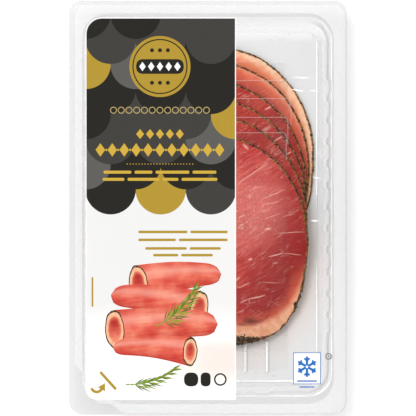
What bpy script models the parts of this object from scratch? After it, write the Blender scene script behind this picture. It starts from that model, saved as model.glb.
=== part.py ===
"""A sealed clear retail pack of sliced cured ham: tray, lid film, shingled slices and the sheets between.

The pack lies on the floor of its tray with the lid film up. Metres, +Z up, +Y towards the top edge of
the pack, and the origin under the middle of its outline.
"""

import math
import random

import bmesh
import bpy

MM = 0.001

# Outline that the tray's flange and the lid film share
PACK_WIDTH = 140.0 * MM
PACK_LENGTH = 208.5 * MM
PACK_CORNER = 7.0 * MM

# Formed tray. The profile runs from the cavity's edge down to the floor, and each step of it is
# (inset from the edge, depth below the flange, how much of the flutes it shows, corner radius).
TRAY_WALL = 0.45 * MM
TRAY_DEPTH = 13.0 * MM
CAVITY_WIDTH = 124.4 * MM
CAVITY_LENGTH = 190.8 * MM
CAVITY_MIDDLE_Y = 0.5 * MM
CAVITY_PROFILE = (
    (0.0 * MM, 0.0 * MM, 0.0, 12.0 * MM),
    (1.1 * MM, 0.7 * MM, 0.4, 11.5 * MM),
    (2.3 * MM, 5.0 * MM, 1.0, 10.5 * MM),
    (4.4 * MM, 5.9 * MM, 0.5, 9.0 * MM),
    (6.2 * MM, 12.2 * MM, 0.0, 7.5 * MM),
    (7.1 * MM, TRAY_DEPTH, 0.0, 6.5 * MM),
)
CORNER_STEPS = 6

# Flutes in the upper wall: how many on each side, and one flute's cross-section as (phase, share of depth)
FLUTE_PITCH = 10.93 * MM
FLUTE_DEPTH = 1.2 * MM
LONG_SIDE_FLUTES = 12
SHORT_SIDE_FLUTES = 6
FLUTE_SHAPE = ((0.12, 0.0), (0.24, 1.0), (0.76, 1.0), (0.88, 0.0))

# Ribs that stand on the floor, near its lower end
RIB_XS = (-29.9 * MM, -18.9 * MM, -7.9 * MM, 7.9 * MM, 18.9 * MM, 29.9 * MM)
RIB_LOW_Y = -83.6 * MM
RIB_HIGH_Y = -67.0 * MM
RIB_RADIUS = 0.9 * MM
RIB_HEIGHT = 0.75 * MM
RIB_ROOT = 0.2 * MM
RIB_SIDES = 10
RIB_BANDS = 6

# Lid film, held just clear of the flange that it is sealed to
LID_GAP = 0.3 * MM
LID_THICKNESS = 0.15 * MM

# Slices, lowest first. A place is the (x, y) of the slice's middle, and a turn is in degrees.
SLICE_PLACES = (
    (3.8 * MM, 27.4 * MM),
    (1.6 * MM, 19.7 * MM),
    (0.4 * MM, 10.2 * MM),
    (0.2 * MM, 1.1 * MM),
    (0.6 * MM, -7.2 * MM),
    (0.9 * MM, -16.9 * MM),
)
SLICE_TURNS = (4.0, -2.0, 1.0, -3.0, 2.0, 0.0)
SLICE_THICKNESS = 1.35 * MM
SLICE_RADIUS = 51.2 * MM
SLICE_OVAL = 1.8 * MM
SLICE_EGG = 0.9 * MM
SLICE_SHOULDERS = ((-50.0, 26.0, 6.0 * MM), (-130.0, 26.0, 3.5 * MM))
SLICE_ROWS = 30
SLICE_COLUMNS = 9
RIM_BULGE = 0.25 * MM
RIM_CRUMB = 0.2 * MM

# Herb flakes fused to the slices: a few round every rim, and a thick patch at the front slice's lower end
FLAKE_SIZE = (0.6 * MM, 1.1 * MM, 0.5 * MM)
FLAKES_A_RIM = 9
RIM_FLAKE_INSET = 0.1 * MM
PATCH_FLAKES = 20
PATCH_START = -100.0
PATCH_END = -66.0
PATCH_DEPTH = 5.0 * MM
CRUST_SEED = 5

# Clear sheets, one on top of each slice
SHEET_WIDTH = 80.0 * MM
SHEET_LENGTH = 110.5 * MM
SHEET_TOP_ABOVE_SLICE = 44.9 * MM
SHEET_THICKNESS = 0.2 * MM
SHEET_CORNER = 1.2 * MM
SHEET_ROWS = 22
SHEET_COLUMNS = 7
SHEET_SHIFTS = (
    (-0.6 * MM, 1.4 * MM),
    (1.2 * MM, -0.3 * MM),
    (2.0 * MM, 0.0 * MM),
    (0.4 * MM, -0.4 * MM),
    (-0.5 * MM, 0.1 * MM),
    (0.6 * MM, 0.4 * MM),
)

# How the stack lies: the air between two pieces, and the slope where a slice passes over the ones below
STACK_GAP = 0.24 * MM
STACK_BASE = TRAY_WALL + 0.3 * MM
TOP_SHEET_LIFT = 0.34 * MM
SLICE_LOW_REACH = 56.5 * MM
SLOPE_LENGTH = 24.0 * MM
SIDE_DROOP = 0.45

CLEAR_COLOUR = (0.93, 0.94, 0.95)
MEAT_COLOUR = (0.62, 0.13, 0.11)


def clear_scene():
    for item in list(bpy.data.objects):
        bpy.data.objects.remove(item)


def new_collection(name):
    collection = bpy.data.collections.new(name)
    bpy.context.scene.collection.children.link(collection)
    return collection


def new_material(name, colour, roughness, alpha=1.0):
    material = bpy.data.materials.new(name)
    material.use_nodes = True
    shader = material.node_tree.nodes["Principled BSDF"]
    shader.inputs["Base Color"].default_value = (*colour, 1.0)
    shader.inputs["Roughness"].default_value = roughness
    shader.inputs["Metallic"].default_value = 0.0
    shader.inputs["Alpha"].default_value = alpha
    material.diffuse_color = (*colour, alpha)
    return material


def new_object(name, mesh_builder, collection, material=None):
    mesh = bpy.data.meshes.new(name)
    mesh_builder.to_mesh(mesh)
    mesh_builder.free()
    made = bpy.data.objects.new(name, mesh)
    collection.objects.link(made)
    if material:
        mesh.materials.append(material)
    return made


def fuse(made, helpers):
    """Joins every object of the collection to this one, and removes them."""
    union = made.modifiers.new("Union", "BOOLEAN")
    union.operation = "UNION"
    union.operand_type = "COLLECTION"
    union.collection = helpers
    union.solver = "EXACT"
    bpy.context.view_layer.update()
    joined = bpy.data.meshes.new_from_object(made.evaluated_get(bpy.context.evaluated_depsgraph_get()))
    made.modifiers.clear()
    made.data = joined
    for helper in list(helpers.objects):
        bpy.data.objects.remove(helper)
    bpy.data.collections.remove(helpers)


def side_stations(flutes, corner_start):
    """Points along one side, from its middle: (place, share of the flute's depth)."""
    stations = [(-corner_start, 0.0)]
    first = -flutes * FLUTE_PITCH / 2
    for flute in range(flutes):
        start = first + flute * FLUTE_PITCH
        for phase, share in FLUTE_SHAPE:
            stations.append((start + phase * FLUTE_PITCH, share))
    stations.append((corner_start, 0.0))
    return stations


def ring(width, length, corner, middle_y, height, flute_depth=0.0):
    """A rounded rectangle, anticlockwise from the foot of its right side, with every side's flute stations."""
    points = []
    sides = ((width / 2, length / 2, LONG_SIDE_FLUTES), (length / 2, width / 2, SHORT_SIDE_FLUTES)) * 2
    for turn, (out, half, flutes) in enumerate(sides):
        local = []
        for along, share in side_stations(flutes, half - corner):
            local.append((out + share * flute_depth, along))
        for step in range(1, CORNER_STEPS):
            bend = math.pi / 2 * step / CORNER_STEPS
            local.append((out - corner + corner * math.cos(bend), half - corner + corner * math.sin(bend)))
        angle = math.pi / 2 * turn
        for x, y in local:
            across = x * math.cos(angle) - y * math.sin(angle)
            along = x * math.sin(angle) + y * math.cos(angle)
            points.append((across, along + middle_y, height))
    return points


def loft(mesh_builder, rings):
    """Faces between successive rings, the outermost first, facing up."""
    rows = [[mesh_builder.verts.new(point) for point in points] for points in rings]
    for outer, inner in zip(rows, rows[1:]):
        for index in range(len(outer)):
            after = (index + 1) % len(outer)
            mesh_builder.faces.new((outer[index], outer[after], inner[after], inner[index]))
    return rows


def add_thickness(made, thickness):
    modifier = made.modifiers.new("Thickness", "SOLIDIFY")
    modifier.thickness = thickness
    modifier.offset = -1.0
    modifier.use_even_offset = True
    modifier.use_quality_normals = True


def make_rib(x, collection):
    """A low round-ended bar on the floor, with a flat root sunk into it."""
    mesh_builder = bmesh.new()
    bmesh.ops.create_uvsphere(mesh_builder, u_segments=RIB_SIDES, v_segments=RIB_BANDS, radius=RIB_RADIUS)
    stretch = (RIB_HIGH_Y - RIB_LOW_Y) / 2 - RIB_RADIUS
    middle_y = (RIB_HIGH_Y + RIB_LOW_Y) / 2
    for vertex in mesh_builder.verts:
        side = math.copysign(1.0, vertex.co.y) if abs(vertex.co.y) > RIB_ROOT / 2 else 0.0
        vertex.co.x += x
        vertex.co.y += middle_y + side * stretch
        vertex.co.z = TRAY_WALL + max(vertex.co.z * RIB_HEIGHT / RIB_RADIUS, -RIB_ROOT)
    new_object(f"rib_{round(x / MM)}", mesh_builder, collection)


def make_tray(collection, material):
    """One formed sheet: flat flange, fluted upper wall, ledge, lower wall and ribbed floor."""
    flange_height = TRAY_WALL + TRAY_DEPTH
    rings = [ring(PACK_WIDTH, PACK_LENGTH, PACK_CORNER, 0.0, flange_height)]
    for inset, depth, flute_share, corner in CAVITY_PROFILE:
        width = CAVITY_WIDTH - 2 * inset
        length = CAVITY_LENGTH - 2 * inset
        height = flange_height - depth
        rings.append(ring(width, length, corner, CAVITY_MIDDLE_Y, height, flute_share * FLUTE_DEPTH))
    mesh_builder = bmesh.new()
    rows = loft(mesh_builder, rings)
    mesh_builder.faces.new(rows[-1])
    tray = new_object("tray", mesh_builder, collection, material)
    add_thickness(tray, TRAY_WALL)
    ribs = new_collection("tray_ribs")
    for x in RIB_XS:
        make_rib(x, ribs)
    fuse(tray, ribs)


def make_lid(collection, material):
    height = TRAY_WALL + TRAY_DEPTH + LID_GAP + LID_THICKNESS
    corners = []
    for x_side, y_side, start in ((1, 1, 0), (-1, 1, 1), (-1, -1, 2), (1, -1, 3)):
        middle_x = x_side * (PACK_WIDTH / 2 - PACK_CORNER)
        middle_y = y_side * (PACK_LENGTH / 2 - PACK_CORNER)
        for step in range(CORNER_STEPS + 1):
            angle = math.pi / 2 * (start + step / CORNER_STEPS)
            x = middle_x + PACK_CORNER * math.cos(angle)
            y = middle_y + PACK_CORNER * math.sin(angle)
            corners.append((x, y, height))
    mesh_builder = bmesh.new()
    mesh_builder.faces.new([mesh_builder.verts.new(point) for point in corners])
    lid = new_object("lid_film", mesh_builder, collection, material)
    add_thickness(lid, LID_THICKNESS)


def fall(distance):
    """1 up to a slice's lower edge, and down to 0 over the slope past it."""
    share = min(max(distance / SLOPE_LENGTH, 0.0), 1.0)
    return 1.0 - share * share * (3.0 - 2.0 * share)


def slice_step(index, x, y):
    """How much a slice raises what lies over it, sloping down past its lower edge."""
    lower_edge = SLICE_PLACES[index][1] - SLICE_LOW_REACH + SIDE_DROOP * x * x / SLICE_RADIUS
    return (SLICE_THICKNESS + STACK_GAP) * fall(lower_edge - y)


def slice_underside(index, x, y):
    sheets_below = index * (SHEET_THICKNESS + STACK_GAP)
    return STACK_BASE + sheets_below + sum(slice_step(below, x, y) for below in range(index))


def sheet_underside(index, x, y):
    """The top sheet is held up a little by the herbs on the front slice."""
    herbs = TOP_SHEET_LIFT if index == len(SLICE_PLACES) - 1 else 0.0
    return slice_underside(index, x, y) + slice_step(index, x, y) + herbs


def slice_reach(angle, turn):
    """How far a slice's edge is from its middle: an egg with two lower shoulders."""
    degrees = (math.degrees(angle) - turn + 180.0) % 360.0 - 180.0
    upward = math.sin(math.radians(degrees))
    reach = SLICE_RADIUS + SLICE_EGG * upward - SLICE_OVAL * math.cos(2 * math.radians(degrees))
    for middle, spread, height in SLICE_SHOULDERS:
        reach += height * math.exp(-(((degrees - middle) / spread) ** 2))
    return reach


def edge_point(index, angle):
    middle_x, middle_y = SLICE_PLACES[index]
    reach = slice_reach(angle, SLICE_TURNS[index])
    return middle_x + reach * math.cos(angle), middle_y + reach * math.sin(angle)


def between(start, end, share):
    return start[0] + (end[0] - start[0]) * share, start[1] + (end[1] - start[1]) * share


def slice_rows(index):
    """Rows of points across a slice, from its lower end to its upper end."""
    rows = []
    for row in range(SLICE_ROWS):
        swing = math.pi * (row + 0.5) / SLICE_ROWS
        left = edge_point(index, -math.pi / 2 - swing)
        right = edge_point(index, -math.pi / 2 + swing)
        rows.append([between(left, right, column / SLICE_COLUMNS) for column in range(SLICE_COLUMNS + 1)])
    return rows


def sheet_rows(index):
    """Rows of points across a sheet. The end rows are a little shorter, which trims its corners."""
    middle_x, top_shift = SHEET_SHIFTS[index]
    top = SLICE_PLACES[index][1] + SHEET_TOP_ABOVE_SLICE + top_shift
    bottom = top - SHEET_LENGTH
    inner = SHEET_LENGTH - 2 * SHEET_CORNER
    heights = [bottom + SHEET_CORNER + inner * row / SHEET_ROWS for row in range(SHEET_ROWS + 1)]
    rows = []
    for y, trim in [(bottom, SHEET_CORNER)] + [(y, 0.0) for y in heights] + [(top, SHEET_CORNER)]:
        left = (middle_x - SHEET_WIDTH / 2 + trim, y)
        right = (middle_x + SHEET_WIDTH / 2 - trim, y)
        rows.append([between(left, right, column / SHEET_COLUMNS) for column in range(SHEET_COLUMNS + 1)])
    return rows


def rim_of(grid):
    """The outer points of a grid of rows, anticlockwise from its lower left corner."""
    right = [row[-1] for row in grid[1:-1]]
    left = [row[0] for row in grid[1:-1]]
    return grid[0] + right + grid[-1][::-1] + left[::-1]


def close_sides(mesh_builder, loops):
    for lower, upper in zip(loops, loops[1:]):
        for index in range(len(lower)):
            after = (index + 1) % len(lower)
            mesh_builder.faces.new((lower[index], lower[after], upper[after], upper[index]))


def slab(rows, underside, thickness, crumbs=None):
    """A thin closed piece over rows of points. With crumbs, its edge stands out halfway up, unevenly."""
    mesh_builder = bmesh.new()
    grids = []
    for lift in (0.0, thickness):
        grids.append([[mesh_builder.verts.new((x, y, underside(x, y) + lift)) for x, y in row] for row in rows])
    for grid, upward in zip(grids, (False, True)):
        for near, far in zip(grid, grid[1:]):
            for column in range(len(near) - 1):
                face = (near[column], near[column + 1], far[column + 1], far[column])
                mesh_builder.faces.new(face if upward else face[::-1])
    loops = [rim_of(grid) for grid in grids]
    if crumbs:
        middle_x, middle_y = crumbs["middle"]
        halfway = []
        for low, high in zip(*loops):
            point = (low.co + high.co) / 2
            reach = math.hypot(point.x - middle_x, point.y - middle_y)
            grow = 1.0 + (RIM_BULGE + RIM_CRUMB * crumbs["draw"].random()) / reach
            point.x = middle_x + (point.x - middle_x) * grow
            point.y = middle_y + (point.y - middle_y) * grow
            halfway.append(mesh_builder.verts.new(point))
        loops.insert(1, halfway)
    close_sides(mesh_builder, loops)
    return mesh_builder


def make_sheet(index, collection, material):
    solid = slab(sheet_rows(index), lambda x, y: sheet_underside(index, x, y), SHEET_THICKNESS)
    new_object(f"interleaf_{index + 1}", solid, collection, material)


def make_flake(place, angle, draw, collection):
    """A small uneven flake, its short side along the angle."""
    mesh_builder = bmesh.new()
    bmesh.ops.create_icosphere(mesh_builder, subdivisions=1, radius=1.0)
    scale = draw.uniform(0.75, 1.15)
    for vertex in mesh_builder.verts:
        out = vertex.co.x * FLAKE_SIZE[0] * scale
        along = vertex.co.y * FLAKE_SIZE[1] * scale * draw.uniform(0.8, 1.1)
        vertex.co.x = place[0] + out * math.cos(angle) - along * math.sin(angle)
        vertex.co.y = place[1] + out * math.sin(angle) + along * math.cos(angle)
        vertex.co.z = place[2] + vertex.co.z * FLAKE_SIZE[2]
    new_object("flake", mesh_builder, collection)


def rim_flakes(index, draw, collection):
    middle_x, middle_y = SLICE_PLACES[index]
    for number in range(FLAKES_A_RIM):
        angle = 2 * math.pi * (number + draw.uniform(0.1, 0.9)) / FLAKES_A_RIM
        reach = slice_reach(angle, SLICE_TURNS[index]) + RIM_BULGE - RIM_FLAKE_INSET
        x = middle_x + reach * math.cos(angle)
        y = middle_y + reach * math.sin(angle)
        height = slice_underside(index, x, y) + SLICE_THICKNESS / 2
        make_flake((x, y, height), angle, draw, collection)


def patch_flakes(index, draw, collection):
    """Flakes on the upper face along the slice's lower edge, closest where the patch is deepest."""
    middle_x, middle_y = SLICE_PLACES[index]
    for number in range(PATCH_FLAKES):
        share = (number + draw.uniform(0.2, 0.8)) / PATCH_FLAKES
        angle = math.radians(PATCH_START + (PATCH_END - PATCH_START) * share)
        inset = FLAKE_SIZE[1] + PATCH_DEPTH * math.sin(math.pi * share) * draw.random()
        reach = slice_reach(angle, SLICE_TURNS[index]) - inset
        x = middle_x + reach * math.cos(angle)
        y = middle_y + reach * math.sin(angle)
        height = slice_underside(index, x, y) + SLICE_THICKNESS
        make_flake((x, y, height), angle + draw.uniform(-0.6, 0.6), draw, collection)


def make_slice(index, collection, material):
    draw = random.Random(CRUST_SEED + index)
    crumbs = {"middle": SLICE_PLACES[index], "draw": draw}
    rows = slice_rows(index)
    solid = slab(rows, lambda x, y: slice_underside(index, x, y), SLICE_THICKNESS, crumbs)
    ham = new_object(f"slice_{index + 1}", solid, collection, material)
    flakes = new_collection("flakes")
    rim_flakes(index, draw, flakes)
    if index == len(SLICE_PLACES) - 1:
        patch_flakes(index, draw, flakes)
    fuse(ham, flakes)


def main():
    clear_scene()
    pack = new_collection("sliced_ham_pack")
    tray_material = new_material("clear_tray", CLEAR_COLOUR, 0.08, 0.3)
    film_material = new_material("clear_film", CLEAR_COLOUR, 0.05, 0.25)
    sheet_material = new_material("clear_sheet", CLEAR_COLOUR, 0.2, 0.25)
    meat_material = new_material("cured_ham", MEAT_COLOUR, 0.4)
    make_tray(pack, tray_material)
    make_lid(pack, film_material)
    for index in range(len(SLICE_PLACES)):
        make_slice(index, pack, meat_material)
        make_sheet(index, pack, sheet_material)


main()
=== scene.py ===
"""Looks for a sealed clear pack of sliced cured ham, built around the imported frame.

Metres, +Z up, +Y towards the top edge of the pack. The pack lies on its tray with the printed lid film up.
"""

import math
import random

import bpy
import numpy as np
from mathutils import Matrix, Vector
from mathutils.geometry import delaunay_2d_cdt


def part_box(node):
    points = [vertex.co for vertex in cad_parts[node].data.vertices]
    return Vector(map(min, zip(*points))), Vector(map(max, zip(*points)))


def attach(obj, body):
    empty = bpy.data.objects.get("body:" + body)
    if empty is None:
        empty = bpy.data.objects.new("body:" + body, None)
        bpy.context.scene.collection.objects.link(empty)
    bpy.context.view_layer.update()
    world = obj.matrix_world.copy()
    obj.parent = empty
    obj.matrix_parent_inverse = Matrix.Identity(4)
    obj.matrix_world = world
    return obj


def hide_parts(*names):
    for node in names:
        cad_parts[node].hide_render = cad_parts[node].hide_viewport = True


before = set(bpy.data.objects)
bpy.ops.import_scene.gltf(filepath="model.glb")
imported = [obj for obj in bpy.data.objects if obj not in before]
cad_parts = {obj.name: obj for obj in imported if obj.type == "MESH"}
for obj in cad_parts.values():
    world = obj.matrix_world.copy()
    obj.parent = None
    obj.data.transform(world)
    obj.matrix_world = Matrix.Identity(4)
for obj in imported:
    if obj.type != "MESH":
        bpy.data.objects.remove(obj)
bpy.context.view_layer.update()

MM = 0.001
TINY = 1e-9


def srgb(red, green, blue):
    """A display colour, 0 to 255, as linear light."""
    linear = []
    for channel in (red, green, blue):
        share = channel / 255.0
        linear.append(share / 12.92 if share <= 0.04045 else ((share + 0.055) / 1.055) ** 2.4)
    return (*linear, 1.0)


# Tray, as in the frame. A lip step is (inset, drop, how white the painted highlight on its bend is).
PACK_CORNER = 7.0 * MM
TRAY_WALL = 0.45 * MM
TRAY_DEPTH = 13.0 * MM
FLANGE_HEIGHT = TRAY_WALL + TRAY_DEPTH
CAVITY_WIDTH = 124.4 * MM
CAVITY_LENGTH = 190.8 * MM
CAVITY_MIDDLE_Y = 0.5 * MM
LIP_PROFILE = (
    (0.0 * MM, 0.40 * MM, 0.15),
    (0.10 * MM, 0.22 * MM, 0.1),
    (0.28 * MM, 0.08 * MM, 0.0),
    (0.6 * MM, 0.0 * MM, 0.0),
)

# A cavity step is (inset, depth, how much of the flutes it shows, corner radius), and the painted highlight
# on its bend is (how white, how narrow)
CAVITY_PROFILE = (
    (-1.0 * MM, 0.0 * MM, 0.0, 13.0 * MM),
    (0.0 * MM, 0.0 * MM, 0.0, 12.0 * MM),
    (1.1 * MM, 0.7 * MM, 0.4, 11.5 * MM),
    (2.3 * MM, 5.0 * MM, 1.0, 10.5 * MM),
    (4.4 * MM, 5.9 * MM, 0.5, 9.0 * MM),
    (6.2 * MM, 12.2 * MM, 0.0, 7.5 * MM),
    (7.1 * MM, TRAY_DEPTH, 0.0, 6.5 * MM),
    (8.4 * MM, TRAY_DEPTH, 0.0, 5.5 * MM),
)
CAVITY_BEND_HIGHLIGHTS = ((0.0, 3), (0.5, 3), (0.8, 3), (0.2, 3), (0.8, 3), (0.1, 3), (1.0, 1.2), (0.0, 3))
BEND_REACH = 0.7 * MM
BEND_LIMIT = 0.48
BEND_STEPS = 6
# Painted highlights on the bends fade on the upper side, where no light strikes them, over this reach from
# its wall
UPPER_SIDE_HIGHLIGHT = 0.12
UPPER_SIDE_HIGHLIGHT_REACH = 14.0 * MM

# Painted shade on the fluted wave, darker on the long sides: at these cavity steps, from one share at a
# bend's start to another at its end, and past these distances from the middle
WAVE_SHADE_SHARES = {2: (0.0, 0.35), 3: (1.0, 0.0)}
WAVE_SHADE_SIDES = (CAVITY_WIDTH / 2 - 12.0 * MM, CAVITY_WIDTH / 2 - 5.0 * MM)
FLUTE_PITCH = 10.93 * MM
FLUTE_DEPTH = 1.2 * MM
FLUTE_RISE = (0.10, 0.26)
FLUTE_STATIONS = 16
LONG_SIDE_FLUTES = 12
SHORT_SIDE_FLUTES = 6
TRAY_SHARP_DEGREES = 60
CORNER_STEPS = 14

# Ribs formed in the floor
RIB_XS = (-29.9 * MM, -18.9 * MM, -7.9 * MM, 7.9 * MM, 18.9 * MM, 29.9 * MM)
RIB_MIDDLE_Y = -75.3 * MM
RIB_WIDTH = 1.9 * MM
RIB_LENGTH = 16.6 * MM
RIB_HEIGHT = 0.75 * MM
RIB_SHOULDER = 0.45 * MM
RIB_STEPS = 4
RIB_ROWS = 30
RIB_END_STEPS = 6
FLOOR_GRID = 3.0 * MM
FLOOR_MARGIN = 10.0 * MM

# Painted warm shade on the tray round the lower end of the stack, cast by the meat, and painted light on its
# paler upper end
WARM_SHADE_PLACE = (8.0 * MM, -32.0 * MM)
WARM_SHADE_REACH = (44.0 * MM, 58.0 * MM)
UPPER_LIT_PART = (83.0 * MM, 89.0 * MM)

# Seal between the flange and the film: outer and inner edges as (left, right, low, high)
SEAL_OUTER = (-67.0 * MM, 69.2 * MM, -103.7 * MM, 102.2 * MM)
SEAL_INNER = (-63.4 * MM, 63.4 * MM, -99.0 * MM, 97.8 * MM)
SEAL_OUTER_CORNER = 6.0 * MM
SEAL_INNER_CORNER = 13.2 * MM
SEAL_THICKNESS = 0.2 * MM
SEAL_CLEARANCE = 0.05 * MM
SEAL_CORNER_STEPS = 24
SEAL_SIDE_STEPS = 40
PEEL_LINE = ((-67.5 * MM, -77.8 * MM), (-43.3 * MM, -104.2 * MM))
PEEL_CENTRE = (-CAVITY_WIDTH / 2 + 12.0 * MM, CAVITY_MIDDLE_Y - CAVITY_LENGTH / 2 + 12.0 * MM)
PEEL_LEAST = 13.3 * MM
PEEL_LEAST_STEEPNESS = 0.2

# Painted glints on creases in the film, in mm: (start x, start y, end x, end y, half width, sag)
CREASE_GLINTS = (
    (43.2, 65.6, 51.6, 65.2, 0.34, 0.0),
    (42.0, 59.4, 48.8, 58.7, 0.40, 0.1),
    (50.6, 58.6, 55.8, 59.0, 0.34, 0.35),
    (52.4, 15.4, 56.6, 14.6, 0.40, 0.0),
    (51.6, -6.6, 56.0, -6.8, 0.42, 0.0),
    (55.0, 27.6, 57.6, 25.4, 0.30, 0.2),
)
CREASE_STEPS = 10
CREASE_HEIGHT = 0.03 * MM
CREASE_BLUNTNESS = 0.04

# Slices, lowest first, as in the frame. A shoulder is (direction in degrees, spread in degrees, height), and
# the edge steps go in from the rim in mm.
SLICE_PLACES = (
    (3.8 * MM, 27.4 * MM),
    (1.6 * MM, 19.7 * MM),
    (0.4 * MM, 10.2 * MM),
    (0.2 * MM, 1.1 * MM),
    (0.6 * MM, -7.2 * MM),
    (0.9 * MM, -16.9 * MM),
)
FRONT_SLICE = len(SLICE_PLACES) - 1
SLICE_TURNS = (4.0, -2.0, 1.0, -3.0, 2.0, 0.0)
SLICE_THICKNESS = 1.35 * MM
SLICE_RADIUS = 51.2 * MM
SLICE_OVAL = 1.8 * MM
SLICE_EGG = 0.9 * MM
SLICE_SHOULDERS = ((-50.0, 26.0, 6.0 * MM), (-130.0, 26.0, 3.5 * MM))
SLICE_ANGLES = 300
SLICE_EDGE_STEPS = (0.12, 0.35, 0.7, 1.1, 1.6, 2.4, 3.6, 5.2, 7.2, 9.6, 12.5, 16, 20, 25, 31, 38, 44)
SLICE_EDGE_ROUND = 0.5 * MM

# Unevenness of a slice: waves round its edge as (how many, shift from slice to slice, share), and ripples
EDGE_WOBBLE = 0.1 * MM
EDGE_WAVES = ((7, 1.7, 1.0), (13, 2.9, 0.7), (29, 4.1, 0.5))
SURFACE_WOBBLE = 0.05 * MM
RIPPLE_SIZE = (4.1 * MM, 5.3 * MM)

# Fat along a slice's edge: (direction of its middle in degrees, spread in degrees, greatest width)
SLICE_FAT = (
    (45.0, 95.0, 4.1 * MM),
    (52.0, 60.0, 1.7 * MM),
    (-70.0, 30.0, 5.0 * MM),
    (-60.0, 28.0, 6.0 * MM),
    (-68.0, 30.0, 7.0 * MM),
    (-75.0, 37.5, 10.0 * MM),
)

# Where a slice reddens: towards (x, y), from one distance to another, and at least this much behind the front
RED_TOWARDS = (0.9, -0.3)
RED_REACH = (6.9 * MM, 46.0 * MM)
BACK_REDNESS = 0.42

# Herb coat on the faces: its usual width, and what places on the front add as (direction, spread, width)
COAT_WIDTH = 0.78 * MM
COAT_PATCHES = (
    (-80.0, 14.0, 4.4 * MM),
    (-50.0, 12.0, -0.66 * MM),
    (-49.0, 1.6, 0.7 * MM),
    (-43.5, 1.3, 0.7 * MM),
    (-36.6, 1.6, 1.3 * MM),
    (-27.0, 1.4, 0.4 * MM),
)
THICKEST_COAT = COAT_WIDTH + COAT_PATCHES[0][2]

# Herb flakes, with lengths and insets in mm. A flake's points are six round its middle, its top and its foot.
FLAKE_POINTS = (
    (1, 0, 0),
    (0.45, 0.8, 0.1),
    (-0.5, 0.75, 0),
    (-1, 0, 0.1),
    (-0.45, -0.8, 0),
    (0.5, -0.75, 0.1),
    (0, 0, 1),
    (0, 0, -1),
)
FLAKE_WIDTHS = (0.35, 0.8)
FLAKE_HEIGHTS = (0.25, 0.45)
FLAKE_TILTS = (-0.5, 0.5)
FLAKE_JITTER = (0.75, 1.2)
FLAKE_TONES = (0.48, 0.32)
HERB_SEED = 11
RIM_FLAKES_A_MM = 1.7
RIM_FLAKE_LENGTHS = (0.4, 1.1)
RIM_FLAKE_INSETS = (-0.15, 0.45)
RIM_FLAKE_SWING = 0.5
RIM_FLAKE_LIFT = 0.45
UPPER_FLAKES = 0.65
PATCH_FLAKES = 1500
PATCH_RANGE = (-108.0, -22.0)
PATCH_FLAKE_LENGTHS = (0.5, 1.3)
PATCH_FLAKE_LIFT = 0.6
PATCH_OVERHANG = 0.2 * MM
PATCH_DEPTH = 1.15
PATCH_CROWDING = 1.4

# Loose crumbs on the tray's floor in mm: (left, right, low, high) by the stack and in the upper corner
CRUMB_SEED = 51
CRUMBS = 26
CRUMB_PLACES = ((24.0, 36.0, -86.0, -82.0), (26.0, 52.0, 80.0, 89.0))
CRUMB_LENGTHS = (0.25, 0.6)
CRUMB_RISE = 0.06 * MM
CRUMB_LIFT = 0.5

# Clear sheets, one on top of each slice, as in the frame. A shift is (x, y) from the usual place.
SHEET_WIDTH = 80.0 * MM
SHEET_LENGTH = 110.5 * MM
SHEET_TOP_ABOVE_SLICE = 44.9 * MM
SHEET_THICKNESS = 0.2 * MM
SHEET_CORNER = 1.6 * MM
SHEET_BORDER = 0.22 * MM
SHEET_ENDS = (0.0 * MM, 0.1 * MM, SHEET_BORDER, 0.5 * MM, 0.9 * MM, SHEET_CORNER)
SHEET_ROWS = 44
SHEET_COLUMNS = 18
# Painted highlight on the sheets' edges: white on the rim, the end rows and the side borders near the upper
# end
SHEET_HIGHLIGHT_SIDE = 16.0 * MM
SHEET_HIGHLIGHT_ROWS = 2
SHEET_SHARP_DEGREES = 50
SHEET_SHIFTS = (
    (-0.6 * MM, 1.4 * MM),
    (1.2 * MM, -0.3 * MM),
    (2.0 * MM, 0.0 * MM),
    (0.4 * MM, -0.4 * MM),
    (-0.5 * MM, 0.1 * MM),
    (0.6 * MM, 0.4 * MM),
)

# How the stack lies, as in the frame
STACK_GAP = 0.24 * MM
STACK_BASE = TRAY_WALL + 0.3 * MM
TOP_SHEET_LIFT = 0.34 * MM
SLICE_LOW_REACH = 56.5 * MM
SLOPE_LENGTH = 24.0 * MM
SIDE_DROOP = 0.45

# Printed field on the film as (left, right, low, high). Inks at a higher level lie over those at a lower one.
PRINT_FIELD = (-61.7 * MM, 14.1 * MM, -96.9 * MM, 95.7 * MM)
PRINT_TOP_CORNER = 8.3 * MM
PRINT_LOW_CORNER = 6.0 * MM
PRINT_OUTLINE = 0.5 * MM
PRINT_CLEARANCE = 0.001 * MM
INK_THICKNESS = 0.008 * MM
INK_LEVEL = 0.010 * MM
ARC_STEPS = 48
CORNER_ARC_STEPS = 12
BAR_ROUNDNESS = 0.4
BAR_ARC_STEPS = 3
INKS = {
    "black": (33, 31, 26),
    "dark": (62, 60, 56),
    "mid": (92, 91, 88),
    "grey": (126, 126, 126),
    "gold": (177, 146, 48),
    "bright_gold": (207, 170, 60),
    "pale_gold": (182, 160, 104),
    "white": (252, 252, 252),
    "green": (134, 158, 46),
    "deep_green": (88, 112, 32),
    "blue": (20, 110, 190),
}

# Scallops: each row and column goes so many steps on in the list of inks, apart from gold at (row, column)
SCALLOP_COLUMNS = 3
SCALLOP_ROWS = 8
SCALLOP_LOWEST = -3.4 * MM
SCALLOP_OVERLAP = 1.01
SCALLOP_INKS = ("black", "dark", "black", "mid", "dark", "black", "dark")
SCALLOP_STEPS = (3, 2)
GOLD_SCALLOPS = {(0, 1), (3, 3), (5, 0)}

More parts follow.
